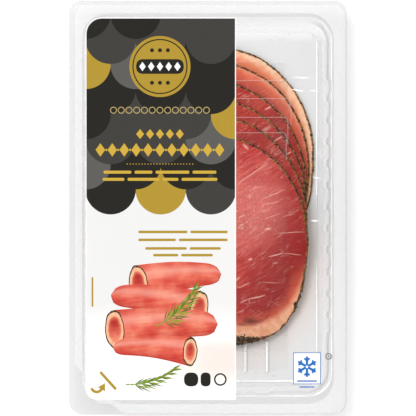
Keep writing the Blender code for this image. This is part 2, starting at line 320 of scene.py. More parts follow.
# Ornament in mm: ink, shape, sizes, (x, y) of the row's middle, how many, their pitch, level
LOW_LEVEL = 4
HIGH_LEVEL = 13
ORNAMENTS = (
    ("gold", "disc", (15.4,), (-24.2, 71.0), 1, 0.0, HIGH_LEVEL),
    ("black", "ring", (13.9, 13.3), (-24.2, 71.0), 1, 0.0, HIGH_LEVEL + 1),
    ("black", "bar", (24.0, 7.4), (-24.2, 71.0), 1, 0.0, HIGH_LEVEL + 1),
    ("white", "lozenge", (3.2, 4.6), (-24.2, 71.0), 5, 4.4, HIGH_LEVEL + 2),
    ("black", "disc", (1.0,), (-24.2, 79.2), 3, 4.0, HIGH_LEVEL + 1),
    ("black", "disc", (1.0,), (-24.2, 62.8), 3, 4.0, HIGH_LEVEL + 1),
    ("pale_gold", "ring", (1.75, 1.3), (-24.2, 49.0), 13, 3.9, HIGH_LEVEL),
    ("bright_gold", "lozenge", (4.0, 5.0), (-24.2, 37.0), 5, 5.0, HIGH_LEVEL),
    ("bright_gold", "lozenge", (4.8, 6.8), (-24.2, 29.0), 11, 6.0, HIGH_LEVEL),
    ("bright_gold", "disc", (0.55,), (-24.2, 29.0), 10, 6.0, HIGH_LEVEL),
    ("bright_gold", "disc", (0.27,), (-24.2, 21.9), 23, 1.5, HIGH_LEVEL),
    ("gold", "bar", (0.9, 15.0), (-58.2, -42.5), 1, 0.0, LOW_LEVEL),
    ("black", "bar", (7.2, 7.0), (-8.5, -86.6), 1, 0.0, LOW_LEVEL),
    ("black", "bar", (5.0, 7.0), (-1.2, -86.6), 1, 0.0, LOW_LEVEL),
    ("black", "ring", (3.2, 2.4), (6.2, -86.6), 1, 0.0, LOW_LEVEL),
    ("blue", "bar", (10.0, 0.7), (49.85, -87.4), 1, 0.0, 2),
    ("blue", "bar", (7.6, 0.6), (49.85, -90.4), 1, 0.0, 0),
    ("grey", "disc", (1.66,), (60.7, -75.0), 1, 0.0, 0),
    ("white", "ring", (0.95, 0.6), (60.7, -75.0), 1, 0.0, 1),
)

# Lines of plain bars in mm: ink, (x, y) of the line's middle, height, gap, widths, level
BAR_LINES = (
    ("bright_gold", (-24.2, 17.8), 1.5, 1.6, (14.0, 9.0, 17.0, 12.0), HIGH_LEVEL),
    ("bright_gold", (-24.2, 14.2), 1.5, 1.6, (11.0, 16.0, 8.0, 18.0), HIGH_LEVEL),
    ("gold", (-12.6, -12.3), 1.3, 1.5, (24.75, 18.75), LOW_LEVEL),
    ("gold", (-12.6, -16.3), 1.3, 1.5, (18.9, 24.6), LOW_LEVEL),
    ("gold", (-12.6, -20.6), 1.3, 1.5, (20.9, 15.6), LOW_LEVEL),
    ("gold", (-12.6, -24.0), 1.3, 1.5, (12.6, 15.9), LOW_LEVEL),
)

# Bent arrow by the peel corner: its bar as (x, y, width, height), then its arc with an outer, a middle and an
# inner radius and with both ends in degrees, and its head from the arc's end
ARROW_BAR = (-50.3 * MM, -87.2 * MM, 12.0 * MM, 1.4 * MM)
ARROW_BAR_DEGREES = -48.0
ARROW_MIDDLE = (-56.0 * MM, -90.2 * MM)
ARROW_RADII = (3.4 * MM, 2.7 * MM, 2.0 * MM)
ARROW_DEGREES = (-165.0, -30.0)
ARROW_HEAD = ((2.1 * MM, 0.0), (0.0, 3.6 * MM), (-2.1 * MM, 0.0))

# White mark with a blue border as (left, right, low, high), and its star, whose arms and barbs are (distance,
# length, width)
MARK_BOX = (42.9 * MM, 56.8 * MM, -89.0 * MM, -73.0 * MM)
MARK_BORDER = 0.35 * MM
STAR_MIDDLE = (49.85 * MM, -80.2 * MM)
STAR_ARMS = 6
STAR_ARM = (2.9 * MM, 4.6 * MM, 1.2 * MM)
STAR_BARB = (0.9 * MM, 1.9 * MM, 0.9 * MM)
STAR_JOINT = 3.1 * MM
STAR_BARB_DEGREES = 50.0

# The printed picture's rolls in mm, furthest first: (mouth x, mouth y, radius, degrees, length, taper)
PICTURE_ROLLS = (
    (-35.0, -38.6, 9.6, 7.0, 42.0, 0.50),
    (-4.5, -51.2, 9.2, 171.0, 45.0, 0.45),
    (-47.0, -61.4, 9.8, 3.0, 52.0, 0.40),
    (-9.0, -72.6, 7.4, 177.0, 39.0, 0.50),
)
PICTURE_RINGS = (1.0, 0.985, 0.96, 0.93, 0.89, 0.84, 0.80, 0.77, 0.74, 0.71, 0.68, 0.60, 0.48, 0.34, 0.18)
PICTURE_LEVEL = 5
ROLL_STEPS = 26
ROLL_COLUMNS = 14
ROLL_BOW = 1.6 * MM
ROLL_END = 0.80
ROLL_TIP = 0.02
ROLL_END_POWER = 3
ROLL_LIGHT = (0.4, 0.3)
ROLL_RIM_SHADE = (0.2, 4)
ROLL_LOW_SHADE = (0.55, 1.6)
ROLL_END_SHADE = 0.12
MOUTH_SQUASH = 0.50
MOUTH_WAVES = ((5, 1, 0.02), (9, 2, 0.012))
MOUTH_HOLLOW = 0.74
HOLLOW_SLOPE = 0.2
HOLLOW_SHADE = (0.55, 0.35)
HOLLOW_RIM = 0.15
FAR_FROM_RIM = 9.0 * MM

# Sprigs: (x, y, direction in degrees, length, lowest level, pairs of leaves, spread)
SPRIGS = (
    (-27.0 * MM, -60.0 * MM, 20.0, 27.0 * MM, 14, 9, 0.62),
    (-42.0 * MM, -89.0 * MM, -6.0, 25.0 * MM, 4, 7, 0.40),
)
SPRIG_BEND = 0.4
STEM_STEPS = 12
STEM_OVERLAP = 1.6
STEM_HALF_WIDTH = 0.42 * MM
LEAF_HALF_WIDTH = 0.34 * MM
LEAF_FORKS = ((1.0, 1.0), (0.6, 0.85), (1.5, 0.6))
LEAVES_FROM = 0.2
LEAF_SPREADS = (1.1, 0.6)
LEAF_LENGTHS = (0.46, 0.22)

# Clear plastic: mirror shares face-on and edge-on, and the tints that the tray's attributes bring in, among
# them painted light on its upper end, painted shade on the fluted wave and the meat's warm painted shade.
# A finish is (milky share, tint face-on, tint edge-on, roughness, how white the painted highlight on its
# bends is).
FLAT_MIRROR = 0.004
EDGE_MIRROR = 0.30
MIRROR_POWER = 5.0
TINT_POWER = 2.5
BEND_MIRROR = 0.14
PLASTIC_WHITE = 0.98
TRAY_TINTS = {
    "upper": (0.985, 0.985, 0.985, 1.0),
    "flange": (0.910, 0.911, 0.913, 1.0),
    "wave_shade": (0.80, 0.80, 0.81, 1.0),
    "painted_warm_shade": (0.946, 0.928, 0.918, 1.0),
}
CLEAR_FINISHES = {
    "clear_tray": (0.004, 0.940, 0.86, 0.07, 0.9),
    "clear_film": (0.0, 0.997, 0.97, 0.06, 0.0),
    "seal": (0.26, 1.0, 0.97, 0.3, 0.0),
    "crease_glint_white": (0.75, 1.0, 1.0, 0.3, 0.0),
    "clear_sheet": (0.003, 0.986, 0.97, 0.12, 0.0),
    "sheet_edge_highlight": (0.20, 1.0, 1.0, 0.3, 0.0),
}

# Patterns are (scale, detail, roughness). Spots have two more values, between which they are cut from one.
# Uneven patches in the painted highlight on the tray's bends
BEND_HIGHLIGHT_SPOTS = (70.0, 2.0, 0.5, 0.30, 0.70)
BEND_HIGHLIGHT_SPOT_SHARE = 0.15

# Meat, with its patterns in millimetres, and its tones from the darkest to the lightest
SWAY = {"Scale": 0.17, "Detail": 3.0}
SWAY_REACH = 1.3
SLICE_SHIFT = (37.0, 11.0, 5.0)
FIBRE_DEGREES = 33.0
FIBRE_SIZE = (9.0, 1.5)
FIBRES = (1.0, 5.0, 0.6)
CLOUD = (0.06, 2.0, 0.5)
GRAIN = (1.7, 3.0, 0.7)
LEAN_TONES = ((0.36, srgb(160, 28, 26)), (0.5, srgb(188, 52, 48)), (0.66, srgb(214, 90, 80)))
BACK_LEAN_TONES = ((0.36, srgb(158, 26, 16)), (0.5, srgb(184, 48, 34)), (0.66, srgb(210, 78, 56)))
DEEP_RED = srgb(136, 18, 15)
DEEP_RED_SHARE = 0.9
FROST_MIDDLE = (20.0, -1.0, 0.0)
FROST_REACH = (25.0, 7.0)
FROST_SHARE = 0.42
FROST_COLOUR = srgb(238, 138, 128)
SPECKLE = (2.3, 1.0, 0.6, 0.57, 0.70)
SPECKLE_SHARE = 0.06
SPECKLE_COLOUR = srgb(246, 190, 182)

# Veins are (length, width, how far from the pattern's middle value they reach, strength). The fourth value of
# their pattern is its distortion. Fewer show where the meat is red.
VEINS = ((22.0, 4.2, 0.013, 0.62), (11.0, 1.7, 0.024, 0.42))
VEIN_PATTERN = (1.0, 1.5, 0.5, 0.2)
VEIN_BREAKS = (0.14, 2.0, 0.5, 0.46, 0.60)
VEIN_BREAK_SHIFT = 9.0
VEINS_LOST_IN_RED = 0.55
VEIN_COLOUR = srgb(242, 190, 178)

# Fat in millimetres: how wide it must be to show, how ragged its edge is, and the salmon band inside it
FAT_SHOWS = (0.3, 2.0)
FAT_EDGE = (0.22, 4.0, 0.5)
FAT_EDGE_RAGGED = 3.5
FAT_SOFTNESS = (2.0, -2.4)
FAT_MOTTLE = (0.35, 4.0, 0.5)
FAT_TONES = ((0.35, srgb(220, 150, 114)), (0.5, srgb(226, 162, 126)), (0.65, srgb(234, 178, 144)))
PALE_FAT_TONES = ((0.35, srgb(238, 182, 142)), (0.5, srgb(242, 193, 156)), (0.65, srgb(246, 204, 170)))
SALMON_REACH = (14.0, 10.0, 4.0, 4.0, 4.0, 7.0)
SALMON_SHARE = 0.85
SALMON_TONES = (srgb(243, 140, 96), srgb(230, 112, 80)) + 4 * (srgb(206, 92, 66),)

# Herb rind in millimetres: what clumps add to its least share of the coat's width, how soft its edge is, and
# the widths over which it turns to a black crust
CLUMPS = (0.8, 4.0, 0.65, 0.40, 0.62)
CLUMP_WIDTHS = (0.7, 0.8)
RIND_SOFTNESS = (0.12, -0.15)
RIND_MOTTLE = (0.75, 3.0, 0.6)
RIND_TONES = (
    (0.40, srgb(18, 10, 5)),
    (0.48, srgb(66, 38, 16)),
    (0.56, srgb(170, 116, 54)),
    (0.66, srgb(92, 60, 26)),
)
CRUST_WIDTHS = (0.8, 2.0)
CRUST_SHARE = 0.7
CRUST_BLACK = srgb(20, 12, 6)

# The meat's surface
MEAT_RELIEF = (0.7, 0.3)
MEAT_BUMP = (0.25 * MM, 0.5)
MEAT_GLOSS_GRAIN = (0.2, 0.9)
MEAT_ROUGHNESS = (0.25, 0.34)

# Marbling in the front slice and those behind it: (x, y) of both ends in mm, half width in mm, strength
STREAK_SPREAD = 1.5
STREAK_TAPER = 0.4
DARK_STREAK_COLOUR = srgb(100, 38, 32)
FRONT_STREAKS = (
    (14.3, 11.3, 30.5, 22.9, 0.28, 0.8),
    (20.6, 8.3, 26.7, 11.3, 0.25, 0.7),
    (27.9, 4.3, 38.8, 9.3, 0.28, 0.7),
    (27.7, 1.0, 36.1, 3.1, 0.25, 0.6),
    (28.4, -5.9, 36.8, -2.8, 0.25, 0.6),
    (37.4, -4.9, 43.7, -3.2, 0.22, 0.5),
    (15.3, -5.3, 18.6, -3.5, 0.35, 0.8),
    (15.9, -9.3, 18.0, -8.0, 0.40, 0.8),
    (28.4, -11.5, 31.9, -10.4, 0.55, 0.85),
    (34.0, -12.8, 49.3, -12.5, 0.24, 0.6),
    (30.5, -24.7, 38.1, -22.9, 0.35, 0.85),
    (38.1, -22.9, 47.1, -23.9, 0.22, 0.6),
    (20.1, -26.4, 22.2, -25.9, 0.50, 0.9),
    (32.6, -28.2, 35.4, -27.8, 0.35, 0.6),
    (15.3, -40.5, 21.5, -37.8, 0.28, 0.75),
    (26.7, -37.8, 36.8, -37.8, 0.22, 0.5),
    (16.3, -47.9, 20.1, -46.2, 0.35, 0.8),
    (20.1, -46.3, 29.1, -44.1, 0.38, 0.9),
    (30.5, -46.9, 40.2, -51.0, 0.22, 0.3),
    (14.2, -53.1, 18.6, -51.4, 0.25, 0.6),
    (17.3, 32.0, 20.5, 29.2, 0.70, 0.7),
)
BACK_STREAKS = (
    (28.6, 49.3, 32.9, 50.9, 0.40, 0.9),
    (26.4, 37.8, 32.0, 41.2, 0.90, 0.5),
    (33.2, 33.2, 38.1, 36.4, 0.40, 0.7),
    (39.6, 26.6, 42.0, 28.4, 0.40, 0.8),
    (20.0, 65.6, 24.0, 64.4, 0.40, 0.4),
    (45.6, 21.2, 47.0, 22.6, 0.30, 0.7),
)
DARK_STREAKS = (
    (14.6, -58.8, 20.0, -59.0, 0.8, 0.75),
    (17.0, -57.2, 25.4, -57.6, 2.1, 0.95),
    (19.0, -58.4, 27.8, -56.8, 1.2, 0.9),
    (26.6, -57.0, 31.8, -53.7, 0.5, 0.7),
)

# Dried herbs and printing ink, with their patterns in metres
HERB_TONES = (
    (0.0, srgb(18, 11, 6)),
    (0.45, srgb(44, 28, 13)),
    (0.7, srgb(108, 76, 30)),
    (0.88, srgb(174, 126, 56)),
    (1.0, srgb(210, 164, 100)),
)
HERB_MOTTLE = (2500.0, 3.0)
HERB_MOTTLE_SHARE = 0.5
HERB_MOTTLE_COLOUR = srgb(40, 30, 18)
HERB_BUMP = 0.1 * MM
INK_MOTTLE = (900.0, 3.0)
INK_DARKER = 0.94
INK_BUMP = 0.004 * MM
INK_ROUGHNESS = 0.45
INK_SPECULAR = 0.12

# The pale field: soft grey in its upper part, and a warm tint at the lower right, each fading in and out
PAPER_SPOTS = (30.0, 1.0, 0.5, 0.35, 0.65)
PAPER_GREYS = ((0.0, srgb(231, 231, 230)), (1.0, srgb(234, 233, 231)))
PAPER_WHITE = srgb(254, 253, 251)
PAPER_WARM = srgb(243, 229, 222)
PAPER_SPECULAR = 0.15
GREY_ABOVE = (-70.0 * MM, -46.0 * MM)
WARM_BELOW = (-62.0 * MM, -72.0 * MM)
WARM_ABOVE = (-94.0 * MM, -80.0 * MM)
WARM_RIGHT_OF = (-30.0 * MM, 4.0 * MM)

# The picture's meat in millimetres: bands inwards from the rim are (from, to, colour)
PICTURE_STREAK_DEGREES = 5.0
PICTURE_STREAK_SIZE = (14.0, 1.6)
PICTURE_STREAKS = (1.0, 3.0)
PICTURE_CLOUD = (0.10, 2.0)
PICTURE_TONE_SHARES = (0.35, 0.65)
PICTURE_TONES = ((0.36, srgb(206, 66, 54)), (0.5, srgb(226, 98, 78)), (0.64, srgb(240, 138, 110)))
PICTURE_EDGE = (0.4, 3.0)
PICTURE_EDGE_RAGGED = 2.4
PICTURE_BANDS = ((5.0, 1.6, srgb(242, 152, 118)), (2.6, 1.2, srgb(247, 194, 156)))
PICTURE_LIGHT = (0.5, srgb(250, 184, 164))
PICTURE_SHADE = (0.8, srgb(160, 26, 26))
PICTURE_SPECKS = (1.1, 2.0, 0.5, 0.46, 0.60)
PICTURE_HERBS = (srgb(26, 20, 12), srgb(128, 98, 52))
PICTURE_RIM = (1.25, 0.8)
PICTURE_RIM_RAGGED = 0.35

# Picture plane of the camera: the film, across the whole frame
VIEW_WIDTH = 209.5 * MM
VIEW_MIDDLE = (0.0, -0.25 * MM)
LENS = 600.0
SENSOR = 36.0
CLIP_END = 100.0
CLEAR_BOUNCES = 48

# Floor and light: a slightly warm surround, a slightly cool key that balances it, and two sources for glints.
# A sun is (where it comes from, strength, spread in degrees, colour). A world stop is (height, level).
FLOOR_SIZE = 12.0
FLOOR_DROP = 0.05 * MM
FLOOR_WHITE = 0.98
FLOOR_ROUGHNESS = 0.9
WORLD_STRENGTH = 0.90
WORLD_STOPS = ((0.0, 0.70), (0.25, 0.92), (0.6, 1.0), (0.86, 0.75), (0.985, 0.55))
FILL_COLOUR = (1.0, 0.975, 0.965)
SUNS = {
    "key": ((-0.32, 0.33, 1.0), 1.20, 24.0, (0.955, 1.0, 1.02)),
    "left_glint": ((-0.62, 0.02, 1.0), 0.13, 9.0, (1.0, 1.0, 1.0)),
    "top_glint": ((0.02, 0.62, 1.0), 0.13, 9.0, (1.0, 1.0, 1.0)),
}


# Nodes

class Value:
    """What a node gives. Signs such as + and * between values add the nodes that do the sum."""

    def __init__(self, graph, socket):
        self.graph = graph
        self.socket = socket

    def __add__(self, other):
        return self.graph.math("ADD", self, other)

    def __sub__(self, other):
        return self.graph.math("SUBTRACT", self, other)

    def __rsub__(self, other):
        return self.graph.math("SUBTRACT", other, self)

    def __mul__(self, other):
        return self.graph.math("MULTIPLY", self, other)

    def __truediv__(self, other):
        return self.graph.math("DIVIDE", self, other)

    def __pow__(self, power):
        return self.graph.math("POWER", self, power)

    def __abs__(self):
        return self.graph.math("ABSOLUTE", self)

    def between(self, none, full):
        """0 at the first value, 1 at the second, and soft between them. Either may be the greater."""
        inputs = {"Value": self, "From Min": none, "From Max": full}
        return self.graph.node("MapRange", "Result", inputs, interpolation_type="SMOOTHSTEP")


class Graph:
    """Short ways to add and join the nodes of one tree."""

    def __init__(self, tree):
        self.tree = tree

    def put(self, socket, value):
        if isinstance(value, Value):
            self.tree.links.new(value.socket, socket)
        else:
            socket.default_value = value

    def node(self, kind, output, inputs, **settings):
        """One output of a new node with these inputs and settings."""
        node = self.tree.nodes.new(f"ShaderNode{kind}")
        for name, value in settings.items():
            setattr(node, name, value)
        for name, value in inputs.items():
            self.put(node.inputs[name], value)
        return Value(self, node.outputs[output])

    def place(self):
        return self.node("TexCoord", "Object", {})

    def flat_place(self):
        """The place in millimetres, with its height left out."""
        return self.vector("MULTIPLY", self.place(), (1.0 / MM, 1.0 / MM, 0.0))

    def attribute(self, name):
        return self.node("Attribute", "Fac", {}, attribute_name=name)

    def in_mm(self, name):
        return self.attribute(name) * (1.0 / MM)

    def math(self, operation, first, second=0.0, clamp=False):
        return self.node("Math", 0, {0: first, 1: second}, operation=operation, use_clamp=clamp)

    def vector(self, operation, first, second, output="Vector"):
        return self.node("VectorMath", output, {0: first, 1: second}, operation=operation)

    def moved(self, place, shift):
        return self.node("Mapping", "Vector", {"Vector": place, "Location": shift})

    def along(self, place, degrees, length, width):
        """Coordinates for a pattern drawn out to this length in this direction."""
        turn = (0.0, 0.0, math.radians(degrees))
        inputs = {"Vector": place, "Rotation": turn, "Scale": (length, width, 1.0)}
        return self.node("Mapping", "Vector", inputs, vector_type="TEXTURE")

    def noise(self, place, scale, detail, roughness=0.5, distortion=0.0):
        inputs = {"Scale": scale, "Detail": detail, "Roughness": roughness, "Distortion": distortion}
        return self.node("TexNoise", "Fac", {"Vector": place, **inputs})

    def spots(self, place, scale, detail, roughness, none, full):
        """Soft-edged spots, cut from noise between two of its values."""
        return self.noise(place, scale, detail, roughness).between(none, full)

    def ragged(self, place, pattern, reach):
        """An unevenness that goes half of this reach to either side."""
        return (self.noise(place, *pattern) - 0.5) * reach

    def mix(self, share, first, second):
        return self.node("Mix", 2, {0: share, 6: first, 7: second}, data_type="RGBA")

    def ramp(self, share, stops):
        made = self.node("ValToRGB", "Color", {"Fac": share})
        elements = made.socket.node.color_ramp.elements
        for element, (position, colour) in zip(elements, (stops[0], stops[-1])):
            element.position = position
            element.color = colour
        for position, colour in stops[1:-1]:
            elements.new(position).color = colour
        return made

    def bump(self, height, distance, strength=1.0):
        return self.node("Bump", "Normal", {"Height": height, "Distance": distance, "Strength": strength})


class Material(Graph):
    """The nodes of one material, which end in its Principled shader."""

    def __init__(self, name):
        self.material = bpy.data.materials.new(name)
        self.material.use_nodes = True
        super().__init__(self.material.node_tree)
        self.shader = self.tree.nodes["Principled BSDF"]

    def finish(self, **inputs):
        """Sets the shader's own inputs. Underscores in a name stand for spaces."""
        for name, value in inputs.items():
            self.put(self.shader.inputs[name.replace("_", " ")], value)
        return self.material


# Materials

def grey(level):
    return (level, level, level, 1.0)


def clear_material(name, haze, flat_tint, edge_tint, roughness, bend_highlight):
    """Clear plastic: see-through, with a milky share, and a mirror share that grows towards the edges.

    With a bend highlight, the mesh's attributes act too: "bend" paints a white highlight on the bends and
    raises their mirror share, and the others bring in their tints: grey on the flange, paler at the upper end
    as painted light, darker on the fluted wave as painted shade, and a warm painted shade beside the meat.
    """
    graph = Material(name)
    facing = graph.node("LayerWeight", "Facing", {"Blend": 0.5})
    mirror = facing**MIRROR_POWER * EDGE_MIRROR + FLAT_MIRROR
    tint = graph.mix(facing**TINT_POWER, grey(flat_tint), grey(edge_tint))
    milk_and_highlight = haze
    if bend_highlight:
        # Bends: a raised mirror share, and painted highlight as white milk in uneven patches
        bend = graph.attribute("bend")
        mirror = bend * BEND_MIRROR + mirror
        uneven = graph.spots(graph.place(), *BEND_HIGHLIGHT_SPOTS) * BEND_HIGHLIGHT_SPOT_SHARE + (1.0 - BEND_HIGHLIGHT_SPOT_SHARE)
        milk_and_highlight = bend * uneven * bend_highlight + haze
        # Tints: grey on the flange, painted light at the upper end, painted shade on the wave and the meat's
        # warm painted shade
        for attribute, colour in TRAY_TINTS.items():
            tint = graph.mix(graph.attribute(attribute), tint, colour)
    share = graph.math("ADD", milk_and_highlight, mirror, clamp=True)
    through = graph.node("BsdfTransparent", "BSDF", {"Color": tint})
    plastic = Value(graph, graph.shader.outputs["BSDF"])
    mixed = graph.node("MixShader", "Shader", {0: share, 1: through, 2: plastic})
    graph.put(graph.tree.nodes["Material Output"].inputs["Surface"], mixed)
    return graph.finish(Base_Color=grey(PLASTIC_WHITE), Roughness=roughness, Metallic=mirror / share, IOR=1.5)


def streak_group():
    """A node group that gives 1 along a short line in the slice and 0 away from it."""
    group = bpy.data.node_groups.new("streak", "ShaderNodeTree")
    kinds = {"Place": "Vector", "Start": "Vector", "Reach": "Vector", "Width": "Float"}
    for name, kind in kinds.items():
        group.interface.new_socket(name, in_out="INPUT", socket_type=f"NodeSocket{kind}")
    group.interface.new_socket("Share", in_out="OUTPUT", socket_type="NodeSocketFloat")
    graph = Graph(group)
    given = group.nodes.new("NodeGroupInput")
    place, start, reach, width = [Value(graph, given.outputs[name]) for name in kinds]
    offset = graph.vector("SUBTRACT", place, start)
    run = graph.vector("DOT_PRODUCT", offset, reach, "Value")
    whole = graph.vector("DOT_PRODUCT", reach, reach, "Value")
    share = graph.math("DIVIDE", run, whole, clamp=True)
    apart = graph.vector("DISTANCE", offset, graph.vector("MULTIPLY", reach, share), "Value")
    taper = (1.0 - abs(share - 0.5) * 2.0) ** STREAK_TAPER
    graph.put(group.nodes.new("NodeGroupOutput").inputs["Share"], apart.between(width, 0.0) * taper)
    return group


def streaks(graph, place, group, rows):
    """The strongest of several streaks at each place. The place is in millimetres."""
    strongest = 0.0
    for start_x, start_y, end_x, end_y, half_width, strength in rows:
        inputs = {
            "Place": place,
            "Start": (start_x, start_y, 0.0),
            "Reach": (end_x - start_x, end_y - start_y, 0.0),
            "Width": STREAK_SPREAD * half_width,
        }
        streak = graph.node("Group", "Share", inputs, node_tree=group)
        strongest = graph.math("MAXIMUM", streak * strength, strongest)
    return strongest


def swayed_place(graph):
    """The place in millimetres with a slight waviness added."""
    flat = graph.flat_place()
    sway = graph.node("TexNoise", "Color", {"Vector": flat, **SWAY})
    centred = graph.vector("SUBTRACT", sway, (0.5, 0.5, 0.5))
    return graph.vector("ADD", flat, graph.vector("MULTIPLY", centred, (SWAY_REACH, SWAY_REACH, 0.0)))


def vein_share(graph, shifted, redness_share):
    """Fine broken veins along the fibres, fewer where the meat is a deep red."""
    veins = 0.0
    for length, width, line, strength in VEINS:
        pattern = graph.noise(graph.along(shifted, FIBRE_DEGREES, length, width), *VEIN_PATTERN)
        breaks = graph.spots(graph.moved(shifted, (length, VEIN_BREAK_SHIFT, 0.0)), *VEIN_BREAKS)
        lines = abs(pattern - 0.5).between(line, 0.0) * breaks
        veins = graph.math("MAXIMUM", lines * strength, veins)
    return veins * (redness_share * -VEINS_LOST_IN_RED + 1.0)


def lean_colour(graph, place, shifted, fibres, group, front):
    """Red fibrous meat with frosted places, speckles and marbling."""
    tone = fibres * 0.5 + graph.noise(shifted, *CLOUD) * 0.5
    redness_share = graph.attribute("depth_of_red")
    lean = graph.ramp(tone, LEAN_TONES if front else BACK_LEAN_TONES)
    lean = graph.mix(redness_share * DEEP_RED_SHARE, lean, DEEP_RED)
    frosted = graph.vector("DISTANCE", place, FROST_MIDDLE, "Value").between(*FROST_REACH)
    frost = frosted * (FROST_SHARE if front else 0.0)
    lean = graph.mix(frost, lean, FROST_COLOUR)
    lean = graph.mix(graph.spots(shifted, *SPECKLE) * (frost + SPECKLE_SHARE), lean, SPECKLE_COLOUR)
    drawn = streaks(graph, place, group, FRONT_STREAKS if front else BACK_STREAKS)
    veins = graph.math("MAXIMUM", vein_share(graph, shifted, redness_share), drawn)
    return graph.mix(veins, lean, VEIN_COLOUR)


def with_fat(graph, colour, shifted, edge, index):
    """The colour with a salmon band and a ragged strip of fat laid over it along the edge."""
    band = graph.in_mm("fat_width")
    inside = edge - band + graph.ragged(shifted, FAT_EDGE, FAT_EDGE_RAGGED)
    has_fat = band.between(*FAT_SHOWS)
    salmon = inside.between(SALMON_REACH[index], 0.0) * has_fat * SALMON_SHARE
    colour = graph.mix(salmon, colour, SALMON_TONES[index])
    fat = graph.ramp(graph.noise(shifted, *FAT_MOTTLE), PALE_FAT_TONES if index == 0 else FAT_TONES)
    return graph.mix(inside.between(*FAT_SOFTNESS) * has_fat, colour, fat)


def with_rind(graph, colour, shifted, edge):
    """The colour with the herb rind laid over it, black where the coat is thick."""
    coat = graph.in_mm("herb_width")
    more, least = CLUMP_WIDTHS
    rind = (edge - coat * (graph.spots(shifted, *CLUMPS) * more + least)).between(*RIND_SOFTNESS)
    rind_colour = graph.ramp(graph.noise(shifted, *RIND_MOTTLE), RIND_TONES)
    rind_colour = graph.mix(coat.between(*CRUST_WIDTHS) * CRUST_SHARE, rind_colour, CRUST_BLACK)
    return graph.mix(rind, colour, rind_colour)


def meat_material(index, group):
    """Cured loin: fibrous lean, marbling, a fat edge and a herb rind, by how far a point is from the rim."""
    front = index == FRONT_SLICE
    graph = Material(f"cured_ham_{index + 1}")
    place = swayed_place(graph)
    shifted = graph.moved(place, tuple(shift * index for shift in SLICE_SHIFT))
    fibres = graph.noise(graph.along(shifted, FIBRE_DEGREES, *FIBRE_SIZE), *FIBRES)
    grain = graph.noise(shifted, *GRAIN)
    edge = graph.in_mm("edge_distance")
    colour = lean_colour(graph, place, shifted, fibres, group, front)
    colour = with_fat(graph, colour, shifted, edge, index)
    if front:
        colour = graph.mix(streaks(graph, place, group, DARK_STREAKS), colour, DARK_STREAK_COLOUR)
    height = fibres * MEAT_RELIEF[0] + grain * MEAT_RELIEF[1]
    return graph.finish(
        Base_Color=with_rind(graph, colour, shifted, edge),
        Roughness=grain.between(*MEAT_GLOSS_GRAIN) * MEAT_ROUGHNESS[0] + MEAT_ROUGHNESS[1],
        Normal=graph.bump(height, *MEAT_BUMP),
        Specular_IOR_Level=0.22,
        Subsurface_Weight=0.12,
        Subsurface_Radius=(1.0, 0.35, 0.25),
        Subsurface_Scale=1.2 * MM,
    )


def herb_material():
    graph = Material("dried_herbs")
    mottle = graph.noise(graph.place(), *HERB_MOTTLE)
    colour = graph.ramp(graph.attribute("tone"), HERB_TONES)
    colour = graph.mix(mottle * HERB_MOTTLE_SHARE, colour, HERB_MOTTLE_COLOUR)
    relief = graph.bump(mottle, HERB_BUMP)
    return graph.finish(Base_Color=colour, Roughness=0.75, Specular_IOR_Level=0.12, Normal=relief)


def ink_material(name, colour):
    """Printing ink on film: an even colour with the faint unevenness of print."""
    graph = Material(name)
    mottle = graph.noise(graph.place(), *INK_MOTTLE)
    darker = (*(channel * INK_DARKER for channel in colour[:3]), 1.0)
    return graph.finish(
        Base_Color=graph.mix(mottle, colour, darker),
        Roughness=INK_ROUGHNESS,
        Specular_IOR_Level=INK_SPECULAR,
        Normal=graph.bump(mottle, INK_BUMP),
    )


def paper_material():
    """The pale lower field: soft grey shapes above, plain white below, and a warm tint at the lower right."""
    graph = Material("print_pale")
    place = graph.place()
    x, y = [graph.node("SeparateXYZ", axis, {"Vector": place}) for axis in "XY"]
    soft_grey = graph.ramp(graph.spots(place, *PAPER_SPOTS), PAPER_GREYS)
    colour = graph.mix(y.between(*GREY_ABOVE), PAPER_WHITE, soft_grey)
    warm = y.between(*WARM_BELOW) * y.between(*WARM_ABOVE) * x.between(*WARM_RIGHT_OF)
    colour = graph.mix(warm, colour, PAPER_WARM)
    return graph.finish(Base_Color=colour, Roughness=INK_ROUGHNESS, Specular_IOR_Level=PAPER_SPECULAR)


def picture_material():
    """Printed rolls: a speckled dark rim, a pale edge and a streaky red face, with shaded and lit sides."""
    graph = Material("ink_picture")
    place = graph.flat_place()
    rim = graph.in_mm("rim_distance")
    streaky = graph.noise(graph.along(place, PICTURE_STREAK_DEGREES, *PICTURE_STREAK_SIZE), *PICTURE_STREAKS)
    cloud = graph.noise(place, *PICTURE_CLOUD)
    face = graph.ramp(streaky * PICTURE_TONE_SHARES[0] + cloud * PICTURE_TONE_SHARES[1], PICTURE_TONES)
    uneven = graph.ragged(place, PICTURE_EDGE, PICTURE_EDGE_RAGGED)
    for none, full, colour in PICTURE_BANDS:
        face = graph.mix((rim + uneven).between(none, full), face, colour)
    for name, (share, colour) in (("light", PICTURE_LIGHT), ("shade", PICTURE_SHADE)):
        face = graph.mix(graph.attribute(name) * share, face, colour)
    herbs = graph.mix(graph.spots(place, *PICTURE_SPECKS), *PICTURE_HERBS)
    rough_rim = rim + uneven * PICTURE_RIM_RAGGED
    face = graph.mix(rough_rim.between(*PICTURE_RIM), face, herbs)
    return graph.finish(Base_Color=face, Roughness=INK_ROUGHNESS, Specular_IOR_Level=INK_SPECULAR)


# Shapes

